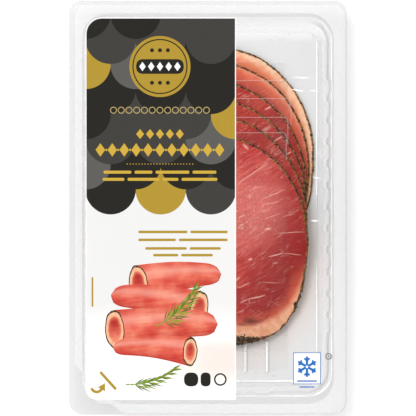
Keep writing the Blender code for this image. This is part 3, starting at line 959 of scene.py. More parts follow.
class Shape:
    """Points, faces and values for each point, gathered for one piece."""

    def __init__(self, *names):
        self.points = []
        self.faces = []
        self.values = {name: [] for name in names}

    def add(self, point, *values):
        """Takes a point with its values and gives its number."""
        self.points.append(point)
        for listed, value in zip(self.values.values(), values):
            listed.append(value)
        return len(self.points) - 1

    def row(self, line, height):
        return [self.add((x, y, height)) for x, y in line]

    def band(self, near, far, closed=True):
        """Faces between two rows of point numbers."""
        for index in range(len(near) if closed else len(near) - 1):
            after = (index + 1) % len(near)
            self.faces.append((near[index], near[after], far[after], far[index]))

    def fan(self, row, middle):
        """Faces from a closed row of point numbers to one point."""
        for index, number in enumerate(row):
            self.faces.append((number, row[(index + 1) % len(row)], middle))

    def plate(self, outline, low, high):
        """A flat plate with this anticlockwise outline."""
        lower, upper = self.row(outline, low), self.row(outline, high)
        self.faces += [tuple(lower[::-1]), tuple(upper)]
        self.band(lower, upper)

    def make(self, name, materials, smooth=False, sharp_degrees=None):
        """The object of these points and faces."""
        mesh = bpy.data.meshes.new(name)
        mesh.from_pydata(self.points, [], self.faces)
        mesh.validate()
        for material in materials:
            mesh.materials.append(material)
        made = bpy.data.objects.new(name, mesh)
        bpy.context.scene.collection.objects.link(made)
        if smooth:
            mesh.shade_smooth()
        if sharp_degrees:
            mesh.set_sharp_from_angle(angle=math.radians(sharp_degrees))
        for value_name, values in self.values.items():
            attribute = mesh.attributes.new(value_name, "FLOAT", "POINT")
            attribute.data.foreach_set("value", np.asarray(values, np.float32))
        return made


def carry(piece, slot, *nodes):
    """The piece rides on the pack and stands for these nodes, which it hides. The slot is not used."""
    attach(piece, "root")
    if nodes:
        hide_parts(*nodes)


def eased(share):
    """0 up to 0, 1 from 1 on, and soft between."""
    share = min(max(share, 0.0), 1.0)
    return share * share * (3.0 - 2.0 * share)


def polar(x, y, reach, angle):
    """The place this far from another in this direction."""
    return x + reach * math.cos(angle), y + reach * math.sin(angle)


def turned(points, x, y, angle):
    """Points turned by this angle and then moved here."""
    cosine, sine = math.cos(angle), math.sin(angle)
    return [(x + a * cosine - b * sine, y + a * sine + b * cosine) for a, b in points]


def inset_box(box, inset):
    left, right, low, high = box
    return left + inset, right - inset, low + inset, high - inset


def rounded_outline(left, right, low, high, corners, steps=CORNER_ARC_STEPS):
    """Anticlockwise points of a rectangle. Its corner radii start at the lower right and go the same way."""
    points = []
    places = ((right, low, -1, 1), (right, high, -1, -1), (left, high, 1, -1), (left, low, 1, 1))
    for quarter, ((x, y, inward_x, inward_y), corner) in enumerate(zip(places, corners)):
        if corner == 0.0:
            points.append((x, y))
            continue
        for step in range(steps + 1):
            angle = math.pi / 2 * (quarter - 1 + step / steps)
            points.append(polar(x + inward_x * corner, y + inward_y * corner, corner, angle))
    return points


# Tray

def flute_share(phase):
    """How far a flute stands out at this share of its pitch."""
    return eased((min(phase, 1.0 - phase) - FLUTE_RISE[0]) / (FLUTE_RISE[1] - FLUTE_RISE[0]))


def side_stations(flutes, corner_start):
    """Points along one side, from its middle: (place, share of the flute's depth)."""
    stations = [(-corner_start, 0.0)]
    first = -flutes * FLUTE_PITCH / 2
    for step in range(flutes * FLUTE_STATIONS + 1):
        pitches = step / FLUTE_STATIONS
        stations.append((first + pitches * FLUTE_PITCH, flute_share(pitches % 1.0)))
    stations.append((corner_start, 0.0))
    return stations


def ring(width, length, corner, middle_y, flute_depth=0.0):
    """A rounded rectangle, anticlockwise from the foot of its right side, with each side's flute stations."""
    points = []
    sides = ((width / 2, length / 2, LONG_SIDE_FLUTES), (length / 2, width / 2, SHORT_SIDE_FLUTES)) * 2
    for turn, (out, half, flutes) in enumerate(sides):
        local = [(out + share * flute_depth, along) for along, share in side_stations(flutes, half - corner)]
        for step in range(1, CORNER_STEPS):
            local.append(polar(out - corner, half - corner, corner, math.pi / 2 * step / CORNER_STEPS))
        points += turned(local, 0.0, middle_y, math.pi / 2 * turn)
    return points


def lit_share(x, y):
    """How much painted highlight a bend gets here: least on the upper side, where no light strikes it."""
    side_x = max(abs(x) - CAVITY_WIDTH / 2 + UPPER_SIDE_HIGHLIGHT_REACH, 0.0)
    side_y = max(y - CAVITY_MIDDLE_Y - CAVITY_LENGTH / 2 + UPPER_SIDE_HIGHLIGHT_REACH, 0.0)
    upward = side_y / max(math.hypot(side_x, side_y), TINY)
    return 1.0 - (1.0 - UPPER_SIDE_HIGHLIGHT) * upward**2


def painted_warm_shade(x, y):
    """Painted warm shade that the meat casts on the clear plastic beside it."""
    distance = math.hypot(x - WARM_SHADE_PLACE[0], y - WARM_SHADE_PLACE[1])
    return 1.0 - eased((distance - WARM_SHADE_REACH[0]) / (WARM_SHADE_REACH[1] - WARM_SHADE_REACH[0]))


def softened(keys):
    """The key rows with each inner one made a soft bend, as (row, key number, how far round the bend)."""
    keys = [np.array(key) for key in keys]
    rows = [(keys[0], 0, 0.0)]
    for number in range(1, len(keys) - 1):
        before, key, after = keys[number - 1 : number + 2]
        start = key + (before - key) * min(BEND_REACH / np.linalg.norm((before - key)[:2]), BEND_LIMIT)
        end = key + (after - key) * min(BEND_REACH / np.linalg.norm((after - key)[:2]), BEND_LIMIT)
        for step in range(BEND_STEPS + 1):
            share = step / BEND_STEPS
            row = start * (1 - share) ** 2 + key * 2 * share * (1 - share) + end * share**2
            rows.append((row, number, share))
    rows.append((keys[-1], len(keys) - 1, 0.0))
    return rows


def inside_rib(x, y):
    """How far a place is inside the outline of the nearest rib, which is negative outside it."""
    out_x = min(abs(x - middle) for middle in RIB_XS)
    out_y = max(abs(y - RIB_MIDDLE_Y) - (RIB_LENGTH - RIB_WIDTH) / 2, 0.0)
    return RIB_WIDTH / 2 - math.hypot(out_x, out_y)


def rib_places(x, inset):
    """Points round a rib, this far inside its outline."""
    half_x, half_y = RIB_WIDTH / 2 - inset, RIB_LENGTH / 2 - inset
    sides = (x - half_x, x + half_x, RIB_MIDDLE_Y - half_y, RIB_MIDDLE_Y + half_y)
    places = rounded_outline(*sides, [half_x] * 4, RIB_END_STEPS)
    straight = (RIB_LENGTH - RIB_WIDTH) / 2
    for y in np.linspace(RIB_MIDDLE_Y - straight, RIB_MIDDLE_Y + straight, RIB_ROWS)[1:-1]:
        places += [(x - half_x, y), (x + half_x, y)]
    return places


def floor_mesh(outline):
    """Points and triangles that fill the floor inside its outline, close together round each rib."""
    places = list(outline)
    rim = [(number, (number + 1) % len(outline)) for number in range(len(outline))]
    half_width, half_length = CAVITY_WIDTH / 2 - FLOOR_MARGIN, CAVITY_LENGTH / 2 - FLOOR_MARGIN
    for column in range(int(2 * half_width / FLOOR_GRID) + 1):
        for row in range(int(2 * half_length / FLOOR_GRID) + 1):
            x = column * FLOOR_GRID - half_width
            y = row * FLOOR_GRID - half_length + CAVITY_MIDDLE_Y
            if inside_rib(x, y) < -RIB_SHOULDER:
                places.append((x, y))
    for x in RIB_XS:
        for step in range(RIB_STEPS + 1):
            places += rib_places(x, RIB_SHOULDER * step / RIB_STEPS)
    found, _, triangles, sources, *_ = delaunay_2d_cdt([Vector(place) for place in places], rim, [], 1, TINY)
    return found, triangles, sources


def tray_rings():
    """The tray's rings from its lip to its floor: (outline, height, bend's painted highlight, flange, wave's
    painted shade).
    """
    low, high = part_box("lid_film")
    width, length = high.x - low.x, high.y - low.y
    for inset, drop, bend in LIP_PROFILE:
        line = ring(width - 2 * inset, length - 2 * inset, PACK_CORNER - inset, 0.0)
        yield line, FLANGE_HEIGHT - drop, bend, 1.0, 0.0
    for (inset, depth, flutes, corner), number, share in softened(CAVITY_PROFILE):
        sizes = (CAVITY_WIDTH - 2 * inset, CAVITY_LENGTH - 2 * inset)
        line = ring(*sizes, corner, CAVITY_MIDDLE_Y, flutes * FLUTE_DEPTH)
        white, narrow = CAVITY_BEND_HIGHLIGHTS[number]
        start, end = WAVE_SHADE_SHARES.get(number, (0.0, 0.0))
        wave_shade = start + (end - start) * share
        bend = white * math.sin(math.pi * share) ** narrow
        yield line, FLANGE_HEIGHT - depth, bend, float(inset < 0.0), wave_shade


def make_tray(material):
    tray = Shape("bend", "flange", "wave_shade", "painted_warm_shade", "upper")

    def take(x, y, z, bend, flange, wave_shade):
        # The wave's painted shade shows towards the long sides, and the upper end is painted paler, as
        # painted light
        sideways = np.interp(abs(x), WAVE_SHADE_SIDES, (0.0, 1.0))
        upper = np.interp(y, UPPER_LIT_PART, (0.0, 1.0))
        return tray.add((x, y, z), bend, flange, wave_shade * sideways, painted_warm_shade(x, y), upper)

    rows = []
    for line, height, bend, flange, wave_shade in tray_rings():
        on_lip = len(rows) < len(LIP_PROFILE)
        lit = [1.0 if on_lip else lit_share(x, y) for x, y in line]
        rows.append([take(x, y, height, bend * share, flange, wave_shade) for (x, y), share in zip(line, lit)])
    for near, far in zip(rows, rows[1:]):
        tray.band(near, far)
    found, triangles, sources = floor_mesh(line)
    numbers = []
    for place, source in zip(found, sources):
        on_rim = [number for number in source if number < len(line)]
        if on_rim:
            numbers.append(rows[-1][on_rim[0]])
            continue
        # The ribs take the bends' painted white highlight, full over their tops
        share = eased(inside_rib(*place) / RIB_SHOULDER)
        numbers.append(take(*place, TRAY_WALL + RIB_HEIGHT * share, share, 0.0, 0.0))
    tray.faces += [tuple(numbers[corner] for corner in triangle) for triangle in triangles]
    made = tray.make("clear_tray", [material], smooth=True)
    thicken = made.modifiers.new("Thickness", "SOLIDIFY")
    thicken.thickness = TRAY_WALL
    thicken.offset = -1.0
    thicken.use_even_offset = True
    solid = bpy.data.meshes.new_from_object(made.evaluated_get(bpy.context.evaluated_depsgraph_get()))
    made.modifiers.clear()
    made.data = solid
    made.data.set_sharp_from_angle(angle=math.radians(TRAY_SHARP_DEGREES))
    carry(made, "clear_tray", "tray")


# Lid film and its seal

def make_lid(material):
    low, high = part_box("lid_film")
    lid = Shape()
    lid.plate(rounded_outline(low.x, high.x, low.y, high.y, [PACK_CORNER] * 4), low.z, high.z)
    carry(lid.make("lid_film_clear", [material]), "clear_film", "lid_film")


def film_top():
    """Just above the film, so that what lies on it doesn't share its plane."""
    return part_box("lid_film")[1].z + PRINT_CLEARANCE


def make_crease_glints(material):
    """Painted glints on short creases in the film: thin lens-shaped white strokes that throw no shadow."""
    creases = Shape()
    section = ((-1, 0.0), (1, 0.0), (1, CREASE_HEIGHT), (-1, CREASE_HEIGHT))
    for start_x, start_y, end_x, end_y, half_width, sag in CREASE_GLINTS:
        rows = []
        for step in range(CREASE_STEPS + 1):
            share = step / CREASE_STEPS
            x = start_x + (end_x - start_x) * share
            y = start_y + (end_y - start_y) * share + sag * math.sin(2 * math.pi * share)
            half = half_width * math.sin(math.pi * (CREASE_BLUNTNESS + (1.0 - 2 * CREASE_BLUNTNESS) * share))
            corners = [(x * MM, (y + side * half) * MM, film_top() + rise) for side, rise in section]
            rows.append([creases.add(corner) for corner in corners])
        for near, far in zip(rows, rows[1:]):
            creases.band(far, near)
        creases.faces += [tuple(rows[0]), tuple(rows[-1][::-1])]
    made = creases.make("painted_crease_glints", [material])
    made.visible_shadow = False
    carry(made, "clear_film")


def divided(outline):
    """The outline with its straight sides, between the rounded corners, cut into short steps."""
    points = []
    for index, (x, y) in enumerate(outline):
        after_x, after_y = outline[(index + 1) % len(outline)]
        pieces = SEAL_SIDE_STEPS if (index + 1) % (SEAL_CORNER_STEPS + 1) == 0 else 1
        for piece in range(pieces):
            share = piece / pieces
            points.append((x + (after_x - x) * share, y + (after_y - y) * share))
    return points


def peel_point(x, y):
    """Moves a point of the seal's outer edge in to the peel corner's slanted line."""
    (start_x, start_y), (end_x, end_y) = PEEL_LINE
    size = math.hypot(end_x - start_x, end_y - start_y)
    normal_x, normal_y = (end_y - start_y) / size, (start_x - end_x) / size
    beyond = (x - start_x) * normal_x + (y - start_y) * normal_y
    if beyond <= 0.0:
        return x, y
    out_x, out_y = x - PEEL_CENTRE[0], y - PEEL_CENTRE[1]
    reach = math.hypot(out_x, out_y)
    steepness = max((out_x * normal_x + out_y * normal_y) / reach, PEEL_LEAST_STEEPNESS)
    shorter = max(reach - beyond / steepness, min(PEEL_LEAST, reach))
    return PEEL_CENTRE[0] + out_x / reach * shorter, PEEL_CENTRE[1] + out_y / reach * shorter


def make_seal(material):
    """A ring between the flange and the film, cut off at the peel corner."""
    outer = divided(rounded_outline(*SEAL_OUTER, [SEAL_OUTER_CORNER] * 4, SEAL_CORNER_STEPS))
    inner = divided(rounded_outline(*SEAL_INNER, [SEAL_INNER_CORNER] * 4, SEAL_CORNER_STEPS))
    outer = [peel_point(x, y) for x, y in outer]
    low = FLANGE_HEIGHT + SEAL_CLEARANCE
    high = low + SEAL_THICKNESS
    seal = Shape()
    rows = [seal.row(*edge) for edge in ((outer, low), (outer, high), (inner, high), (inner, low))]
    for near, far in zip(rows, rows[1:] + rows[:1]):
        seal.band(near, far)
    carry(seal.make("seal_band", [material]), "clear_film")


# Stack of slices and sheets

def slice_step(index, x, y):
    """How much a slice and its gap raise what lies over them, sloping down past the slice's lower edge."""
    lower_edge = SLICE_PLACES[index][1] - SLICE_LOW_REACH + SIDE_DROOP * x * x / SLICE_RADIUS
    return (SLICE_THICKNESS + STACK_GAP) * (1.0 - eased((lower_edge - y) / SLOPE_LENGTH))


def slice_underside(index, x, y):
    sheets_below = index * (SHEET_THICKNESS + STACK_GAP)
    return STACK_BASE + sheets_below + sum(slice_step(below, x, y) for below in range(index))


def sheet_underside(index, x, y):
    """The top sheet is held up a little by the herbs on the front slice."""
    herbs = TOP_SHEET_LIFT if index == FRONT_SLICE else 0.0
    return slice_underside(index, x, y) + slice_step(index, x, y) + herbs


def degrees_from(angle, middle):
    """How many degrees an angle is from a middle one, -180 to 180."""
    return (math.degrees(angle) - middle + 180.0) % 360.0 - 180.0


def swell(apart, spread):
    """1 at the middle of a swelling, and softly down to 0 away from it."""
    return math.exp(-((apart / spread) ** 2))


def slice_place(index, angle, inset):
    """The place this far inside a slice's edge: an uneven egg with two lower shoulders."""
    degrees = degrees_from(angle, SLICE_TURNS[index])
    upward, sideward = math.sin(math.radians(degrees)), math.cos(2 * math.radians(degrees))
    reach = SLICE_RADIUS + SLICE_EGG * upward - SLICE_OVAL * sideward - inset
    for middle, spread, height in SLICE_SHOULDERS:
        reach += height * swell(degrees - middle, spread)
    for count, shift, share in EDGE_WAVES:
        reach += EDGE_WOBBLE * share * math.sin(count * angle + shift * index)
    return polar(*SLICE_PLACES[index], reach, angle)


def fat_width(index, angle):
    middle, spread, width = SLICE_FAT[index]
    return width * swell(degrees_from(angle, middle), spread)


def herb_width(index, angle):
    """How far in the herb coat reaches: a narrow line, and ragged thick places on the front slice."""
    width = COAT_WIDTH
    if index == FRONT_SLICE:
        for middle, spread, extra in COAT_PATCHES:
            width += extra * swell(degrees_from(angle, middle), spread)
    return width


def redness(index, x, y):
    """0 in the paler middle of a slice, up to 1 towards its lower right."""
    towards = (x - SLICE_PLACES[index][0]) * RED_TOWARDS[0] + (y - SLICE_PLACES[index][1]) * RED_TOWARDS[1]
    share = (towards - RED_REACH[0]) / (RED_REACH[1] - RED_REACH[0])
    return eased(share if index == FRONT_SLICE else max(share, BACK_REDNESS))


def rim_lift(edge):
    """How far the face has risen at this distance from the rim, as a share of half the thickness."""
    share = min(edge / SLICE_EDGE_ROUND, 1.0)
    return math.sqrt(1.0 - (1.0 - share) ** 2)


def make_slice(index, material):
    ham = Shape("edge_distance", "fat_width", "herb_width", "depth_of_red")

    def ring_at(inset, side):
        """A closed row of points this far in from the rim, on the upper side or the lower."""
        numbers = []
        for number in range(SLICE_ANGLES):
            angle = 2 * math.pi * number / SLICE_ANGLES
            x, y = slice_place(index, angle, inset)
            z = slice_underside(index, x, y) + SLICE_THICKNESS / 2 * (1.0 + side * rim_lift(inset))
            if inset > 0.0:
                ripple = math.sin(x / RIPPLE_SIZE[0] + index) * math.cos(y / RIPPLE_SIZE[1] - index)
                z += SURFACE_WOBBLE * ripple
            values = (inset, fat_width(index, angle), herb_width(index, angle), redness(index, x, y))
            numbers.append(ham.add((x, y, z), *values))
        return numbers

    rim = ring_at(0.0, 1)
    for side in (1, -1):
        rows = [rim] + [ring_at(step * MM, side) for step in SLICE_EDGE_STEPS]
        for near, far in zip(rows, rows[1:]):
            ham.band(*(near, far)[::side])
        x, y = SLICE_PLACES[index]
        z = slice_underside(index, x, y) + SLICE_THICKNESS * (side == 1)
        middle = ham.add((x, y, z), SLICE_RADIUS, 0.0, COAT_WIDTH, redness(index, x, y))
        ham.fan(rows[-1][::side], middle)
    carry(ham.make(f"ham_slice_{index + 1}", [material], smooth=True), "cured_ham", f"slice_{index + 1}")


def trimmed_half(distance_from_end):
    """Half the width of a sheet at this distance from its end, with the corner's arc taken off."""
    short = max(SHEET_CORNER - distance_from_end, 0.0)
    return SHEET_WIDTH / 2 - (SHEET_CORNER - math.sqrt(SHEET_CORNER**2 - short**2))


def sheet_columns(half):
    """Places across a sheet: evenly spaced, with a narrow border at each side."""
    inside = half - SHEET_BORDER
    return [-half, *(inside * (2 * column / SHEET_COLUMNS - 1) for column in range(SHEET_COLUMNS + 1)), half]


def make_sheet(index, clear, border):
    middle_x, top_shift = SHEET_SHIFTS[index]
    bottom = SLICE_PLACES[index][1] + SHEET_TOP_ABOVE_SLICE + top_shift - SHEET_LENGTH
    inner = SHEET_LENGTH - 2 * SHEET_CORNER
    distances = [*SHEET_ENDS, *(SHEET_CORNER + inner * row / SHEET_ROWS for row in range(1, SHEET_ROWS))]
    distances += [SHEET_LENGTH - end for end in SHEET_ENDS[::-1]]
    sheet = Shape()

    def layer(lift):
        rows = []
        for distance in distances:
            columns = sheet_columns(trimmed_half(min(distance, SHEET_LENGTH - distance)))
            places = [(middle_x + x, bottom + distance) for x in columns]
            rows.append([sheet.add((x, y, sheet_underside(index, x, y) + lift)) for x, y in places])
        return rows

    def rim(rows):
        return rows[0] + [row[-1] for row in rows[1:-1]] + rows[-1][::-1] + [row[0] for row in rows[-2:0:-1]]

    low, high = layer(0.0), layer(SHEET_THICKNESS)
    bands = len(distances) - 1
    # Faces that take the painted edge highlight
    white = []
    for row in range(bands):
        sheet.band(low[row + 1], low[row], closed=False)
        sheet.band(high[row], high[row + 1], closed=False)
        at_end = min(row, bands - 1 - row) < SHEET_HIGHLIGHT_ROWS
        at_side = distances[row] > SHEET_LENGTH - SHEET_HIGHLIGHT_SIDE
        sides = len(low[row]) - 3
        white += 2 * [at_end or at_side, *[at_end] * sides, at_end or at_side]
    sheet.band(rim(low), rim(high))
    white += [True] * len(rim(low))
    name = f"clear_sheet_{index + 1}"
    made = sheet.make(name, [clear, border], smooth=True, sharp_degrees=SHEET_SHARP_DEGREES)
    made.data.polygons.foreach_set("material_index", np.array(white, np.int32))
    carry(made, "clear_sheet", f"interleaf_{index + 1}")


# Herbs

class Flakes(Shape):
    """Small uneven flakes gathered into one mesh."""

    def __init__(self, seed):
        super().__init__("tone")
        self.draw = random.Random(seed)

    def flake(self, x, y, z, length, angle, lift):
        draw = self.draw
        width = length * draw.uniform(*FLAKE_WIDTHS)
        height = length * draw.uniform(*FLAKE_HEIGHTS) * lift
        tilt = draw.uniform(*FLAKE_TILTS)
        tone = min(max(draw.gauss(*FLAKE_TONES), 0.0), 1.0)
        numbers = []
        for along, across, up in FLAKE_POINTS:
            jitter = draw.uniform(*FLAKE_JITTER)
            along, across = along * length / 2 * jitter, across * width / 2 * jitter
            place = turned([(along, across)], x, y, angle)[0]
            numbers.append(self.add((*place, z + up * height / 2 + along * math.sin(tilt)), tone))
        *corners, top, foot = numbers
        self.fan(corners, top)
        self.fan(corners[::-1], foot)


def make_herbs(index, material):
    """The herb coat round one slice's rim, and the thick patch on the front one."""
    flakes = Flakes(HERB_SEED + index)
    draw = flakes.draw
    count = int(2 * math.pi * SLICE_RADIUS / MM * RIM_FLAKES_A_MM)
    for number in range(count):
        angle = 2 * math.pi * (number + draw.random()) / count
        if draw.random() > herb_width(index, angle) / COAT_WIDTH:
            continue
        inset = draw.uniform(*RIM_FLAKE_INSETS) * MM
        x, y = slice_place(index, angle, inset)
        height = 1.0 if draw.random() < UPPER_FLAKES else draw.uniform(-1.0, 1.0)
        z = slice_underside(index, x, y) + SLICE_THICKNESS / 2 * (1.0 + height * rim_lift(max(inset, 0.0)))
        length = draw.uniform(*RIM_FLAKE_LENGTHS) * MM
        flakes.flake(x, y, z, length, angle + math.pi / 2 + draw.gauss(0.0, RIM_FLAKE_SWING), RIM_FLAKE_LIFT)
    for _ in range(PATCH_FLAKES if index == FRONT_SLICE else 0):
        angle = math.radians(draw.uniform(*PATCH_RANGE))
        depth = herb_width(index, angle)
        if draw.random() > depth / THICKEST_COAT:
            continue
        deep = PATCH_DEPTH * depth * draw.random() ** PATCH_CROWDING
        x, y = slice_place(index, angle, deep - PATCH_OVERHANG)
        z = slice_underside(index, x, y) + SLICE_THICKNESS
        length = draw.uniform(*PATCH_FLAKE_LENGTHS) * MM
        flakes.flake(x, y, z, length, draw.uniform(0.0, math.pi), PATCH_FLAKE_LIFT)
    carry(flakes.make(f"herb_coat_{index + 1}", [material]), "cured_ham")


def make_crumbs(material):
    """A few herb crumbs on the tray's floor, by the stack and in the upper corner."""
    flakes = Flakes(CRUMB_SEED)
    draw = flakes.draw
    for number in range(CRUMBS):
        left, right, low, high = CRUMB_PLACES[number % 2]
        x, y = draw.uniform(left, right) * MM, draw.uniform(low, high) * MM
        length = draw.uniform(*CRUMB_LENGTHS) * MM
        flakes.flake(x, y, TRAY_WALL + CRUMB_RISE, length, draw.uniform(0.0, math.pi), CRUMB_LIFT)
    carry(flakes.make("loose_herbs", [material]), "cured_ham")


# Print

def clipped(points, outline):
    """The part of a polygon inside a convex anticlockwise outline."""
    for index, (start_x, start_y) in enumerate(outline):
        end_x, end_y = outline[(index + 1) % len(outline)]
        kept = []
        for number, (x, y) in enumerate(points):
            from_x, from_y = points[number - 1]
            from_side = (end_x - start_x) * (from_y - start_y) - (end_y - start_y) * (from_x - start_x)
            side = (end_x - start_x) * (y - start_y) - (end_y - start_y) * (x - start_x)
            if (from_side < 0.0) != (side < 0.0):
                share = from_side / (from_side - side)
                kept.append((from_x + (x - from_x) * share, from_y + (y - from_y) * share))
            if side >= 0.0:
                kept.append((x, y))
        points = kept
        if len(points) < 3:
            return []
    return points


def disc(x, y, radius):
    return [polar(x, y, radius, 2 * math.pi * step / ARC_STEPS) for step in range(ARC_STEPS)]


def bar(x, y, width, height, angle=0.0):
    """A plain bar from its middle, with its ends a little rounded."""
    corner = min(width, height) * BAR_ROUNDNESS
    outline = rounded_outline(-width / 2, width / 2, -height / 2, height / 2, [corner] * 4, BAR_ARC_STEPS)
    return turned(outline, x, y, angle)


def lozenge(x, y, width, height):
    return [(x + width / 2, y), (x, y + height / 2), (x - width / 2, y), (x, y - height / 2)]


def leaf(x, y, reach, half, angle):
    """A thin pointed leaf from its foot."""
    return turned([(0.0, 0.0), (reach / 2, -half), (reach, 0.0), (reach / 2, half)], x, y, angle)


def lie_as_ink(piece):
    """Printed pieces throw no shadow and no light on what is under them."""
    piece.visible_shadow = False
    piece.visible_diffuse = False
    carry(piece, "clear_film")


class Ink(Shape):
    """Flat shapes of one colour, gathered into one mesh."""

    def stamp(self, points, level, outline=None):
        """Adds a polygon, or the part of it that is inside this outline."""
        points = clipped(points, outline) if outline else points
        if points:
            low = film_top() + level * INK_LEVEL
            self.plate(points, low, low + INK_THICKNESS)

    def ring(self, x, y, outer, inner, level, start=0.0, end=360.0):
        """A whole ring, or a part of one between two directions in degrees."""
        steps = int(ARC_STEPS * (end - start) / 360.0)
        for step in range(steps):
            first, last = [math.radians(start + (end - start) * (step + side) / steps) for side in (0, 1)]
            corners = ((outer, first), (outer, last), (inner, last), (inner, first))
            self.stamp([polar(x, y, radius, angle) for radius, angle in corners], level)


def sprig(inks, x, y, degrees, length, level, pairs, spread):
    """A plain feathery sprig: a curved stem with forked thin leaves in two greens."""
    def along(share):
        bend = math.radians(degrees) + SPRIG_BEND * share
        return (*polar(x, y, length * share, bend), bend)

    for step in range(STEM_STEPS):
        (start_x, start_y, _), (end_x, end_y, _) = along(step / STEM_STEPS), along((step + 1) / STEM_STEPS)
        reach = math.hypot(end_x - start_x, end_y - start_y) * STEM_OVERLAP
        way = math.atan2(end_y - start_y, end_x - start_x)
        inks["green"].stamp(leaf(start_x, start_y, reach, STEM_HALF_WIDTH, way), level)
    for number in range(pairs):
        share = LEAVES_FROM + (1.0 - LEAVES_FROM) * number / (pairs - 1)
        stem_x, stem_y, bend = along(share)
        wide, long = [np.interp(share, (0.0, 1.0), ends) for ends in (LEAF_SPREADS, LEAF_LENGTHS)]
        for side in (-1, 1):
            for fork, (twist, size) in enumerate(LEAF_FORKS):
                way = bend + side * spread * twist * wide
                ink = inks["green" if (number + fork) % 2 else "deep_green"]
                ink.stamp(leaf(stem_x, stem_y, length * long * size, LEAF_HALF_WIDTH, way), level + 1 + fork)


def print_field(inset):
    corners = [0.0, 0.0, PRINT_TOP_CORNER - inset, PRINT_LOW_CORNER - inset]
    return rounded_outline(*inset_box(PRINT_FIELD, inset), corners)


def print_scallops(inks, field):
    """Overlapping rows of discs over the upper half of the field. Higher rows lie over lower ones."""
    left, right = PRINT_FIELD[:2]
    radius = (right - left) / (2 * SCALLOP_COLUMNS)
    for row in range(SCALLOP_ROWS):
        shift = row % 2
        for column in range(SCALLOP_COLUMNS + shift):
            x = left + radius * (2 * column + 1 - shift)
            y = SCALLOP_LOWEST + radius * (row + 1)
            turn = SCALLOP_STEPS[0] * row + SCALLOP_STEPS[1] * column
            ink = "gold" if (row, column) in GOLD_SCALLOPS else SCALLOP_INKS[turn % len(SCALLOP_INKS)]
            inks[ink].stamp(disc(x, y, radius * SCALLOP_OVERLAP), LOW_LEVEL + row, field)


def print_ornaments(inks):
    """Rows of plain discs, rings, bars and lozenges."""
    outlines = {"disc": disc, "bar": bar, "lozenge": lozenge}
    for ink, shape, sizes, (middle_x, y), count, pitch, level in ORNAMENTS:
        sizes = [size * MM for size in sizes]
        for number in range(count):
            place = ((middle_x + (number - (count - 1) / 2) * pitch) * MM, y * MM)
            if shape == "ring":
                inks[ink].ring(*place, *sizes, level)
            else:
                inks[ink].stamp(outlines[shape](*place, *sizes), level)


def print_bar_lines(inks):
    """Centred lines of plain bars."""
    for ink, (middle_x, y), height, gap, widths, level in BAR_LINES:
        x = middle_x - (sum(widths) + gap * (len(widths) - 1)) / 2
        for width in widths:
            inks[ink].stamp(bar((x + width / 2) * MM, y * MM, width * MM, height * MM), level)
            x += width + gap


def print_arrow(ink):
    """A small curved arrow and a slanted bar by the peel corner."""
    ink.stamp(bar(*ARROW_BAR, math.radians(ARROW_BAR_DEGREES)), LOW_LEVEL)
    outer, radius, inner = ARROW_RADII
    ink.ring(*ARROW_MIDDLE, outer, inner, LOW_LEVEL, *ARROW_DEGREES)
    end = math.radians(ARROW_DEGREES[1])
    ink.stamp(turned(ARROW_HEAD, *polar(*ARROW_MIDDLE, radius, end), end), LOW_LEVEL + 1)


def print_mark(inks):
    """A small white mark with a blue border and a plain frost star, over the clear part of the film."""
    for level, (ink, inset) in enumerate((("blue", 0.0), ("white", MARK_BORDER))):
        inks[ink].stamp(rounded_outline(*inset_box(MARK_BOX, inset), [0.0] * 4), level)
    for arm in range(STAR_ARMS):
        angle = math.pi / STAR_ARMS * (2 * arm + 1)
        place, *sizes = STAR_ARM
        inks["blue"].stamp(bar(*polar(*STAR_MIDDLE, place, angle), *sizes, angle), 2 + arm % 3)
        joint = polar(*STAR_MIDDLE, STAR_JOINT, angle)
        place, *sizes = STAR_BARB
        for side in (-1, 1):
            tip = angle + side * math.radians(STAR_BARB_DEGREES)
            inks["blue"].stamp(bar(*polar(*joint, place, tip), *sizes, tip), 5 + (side > 0))


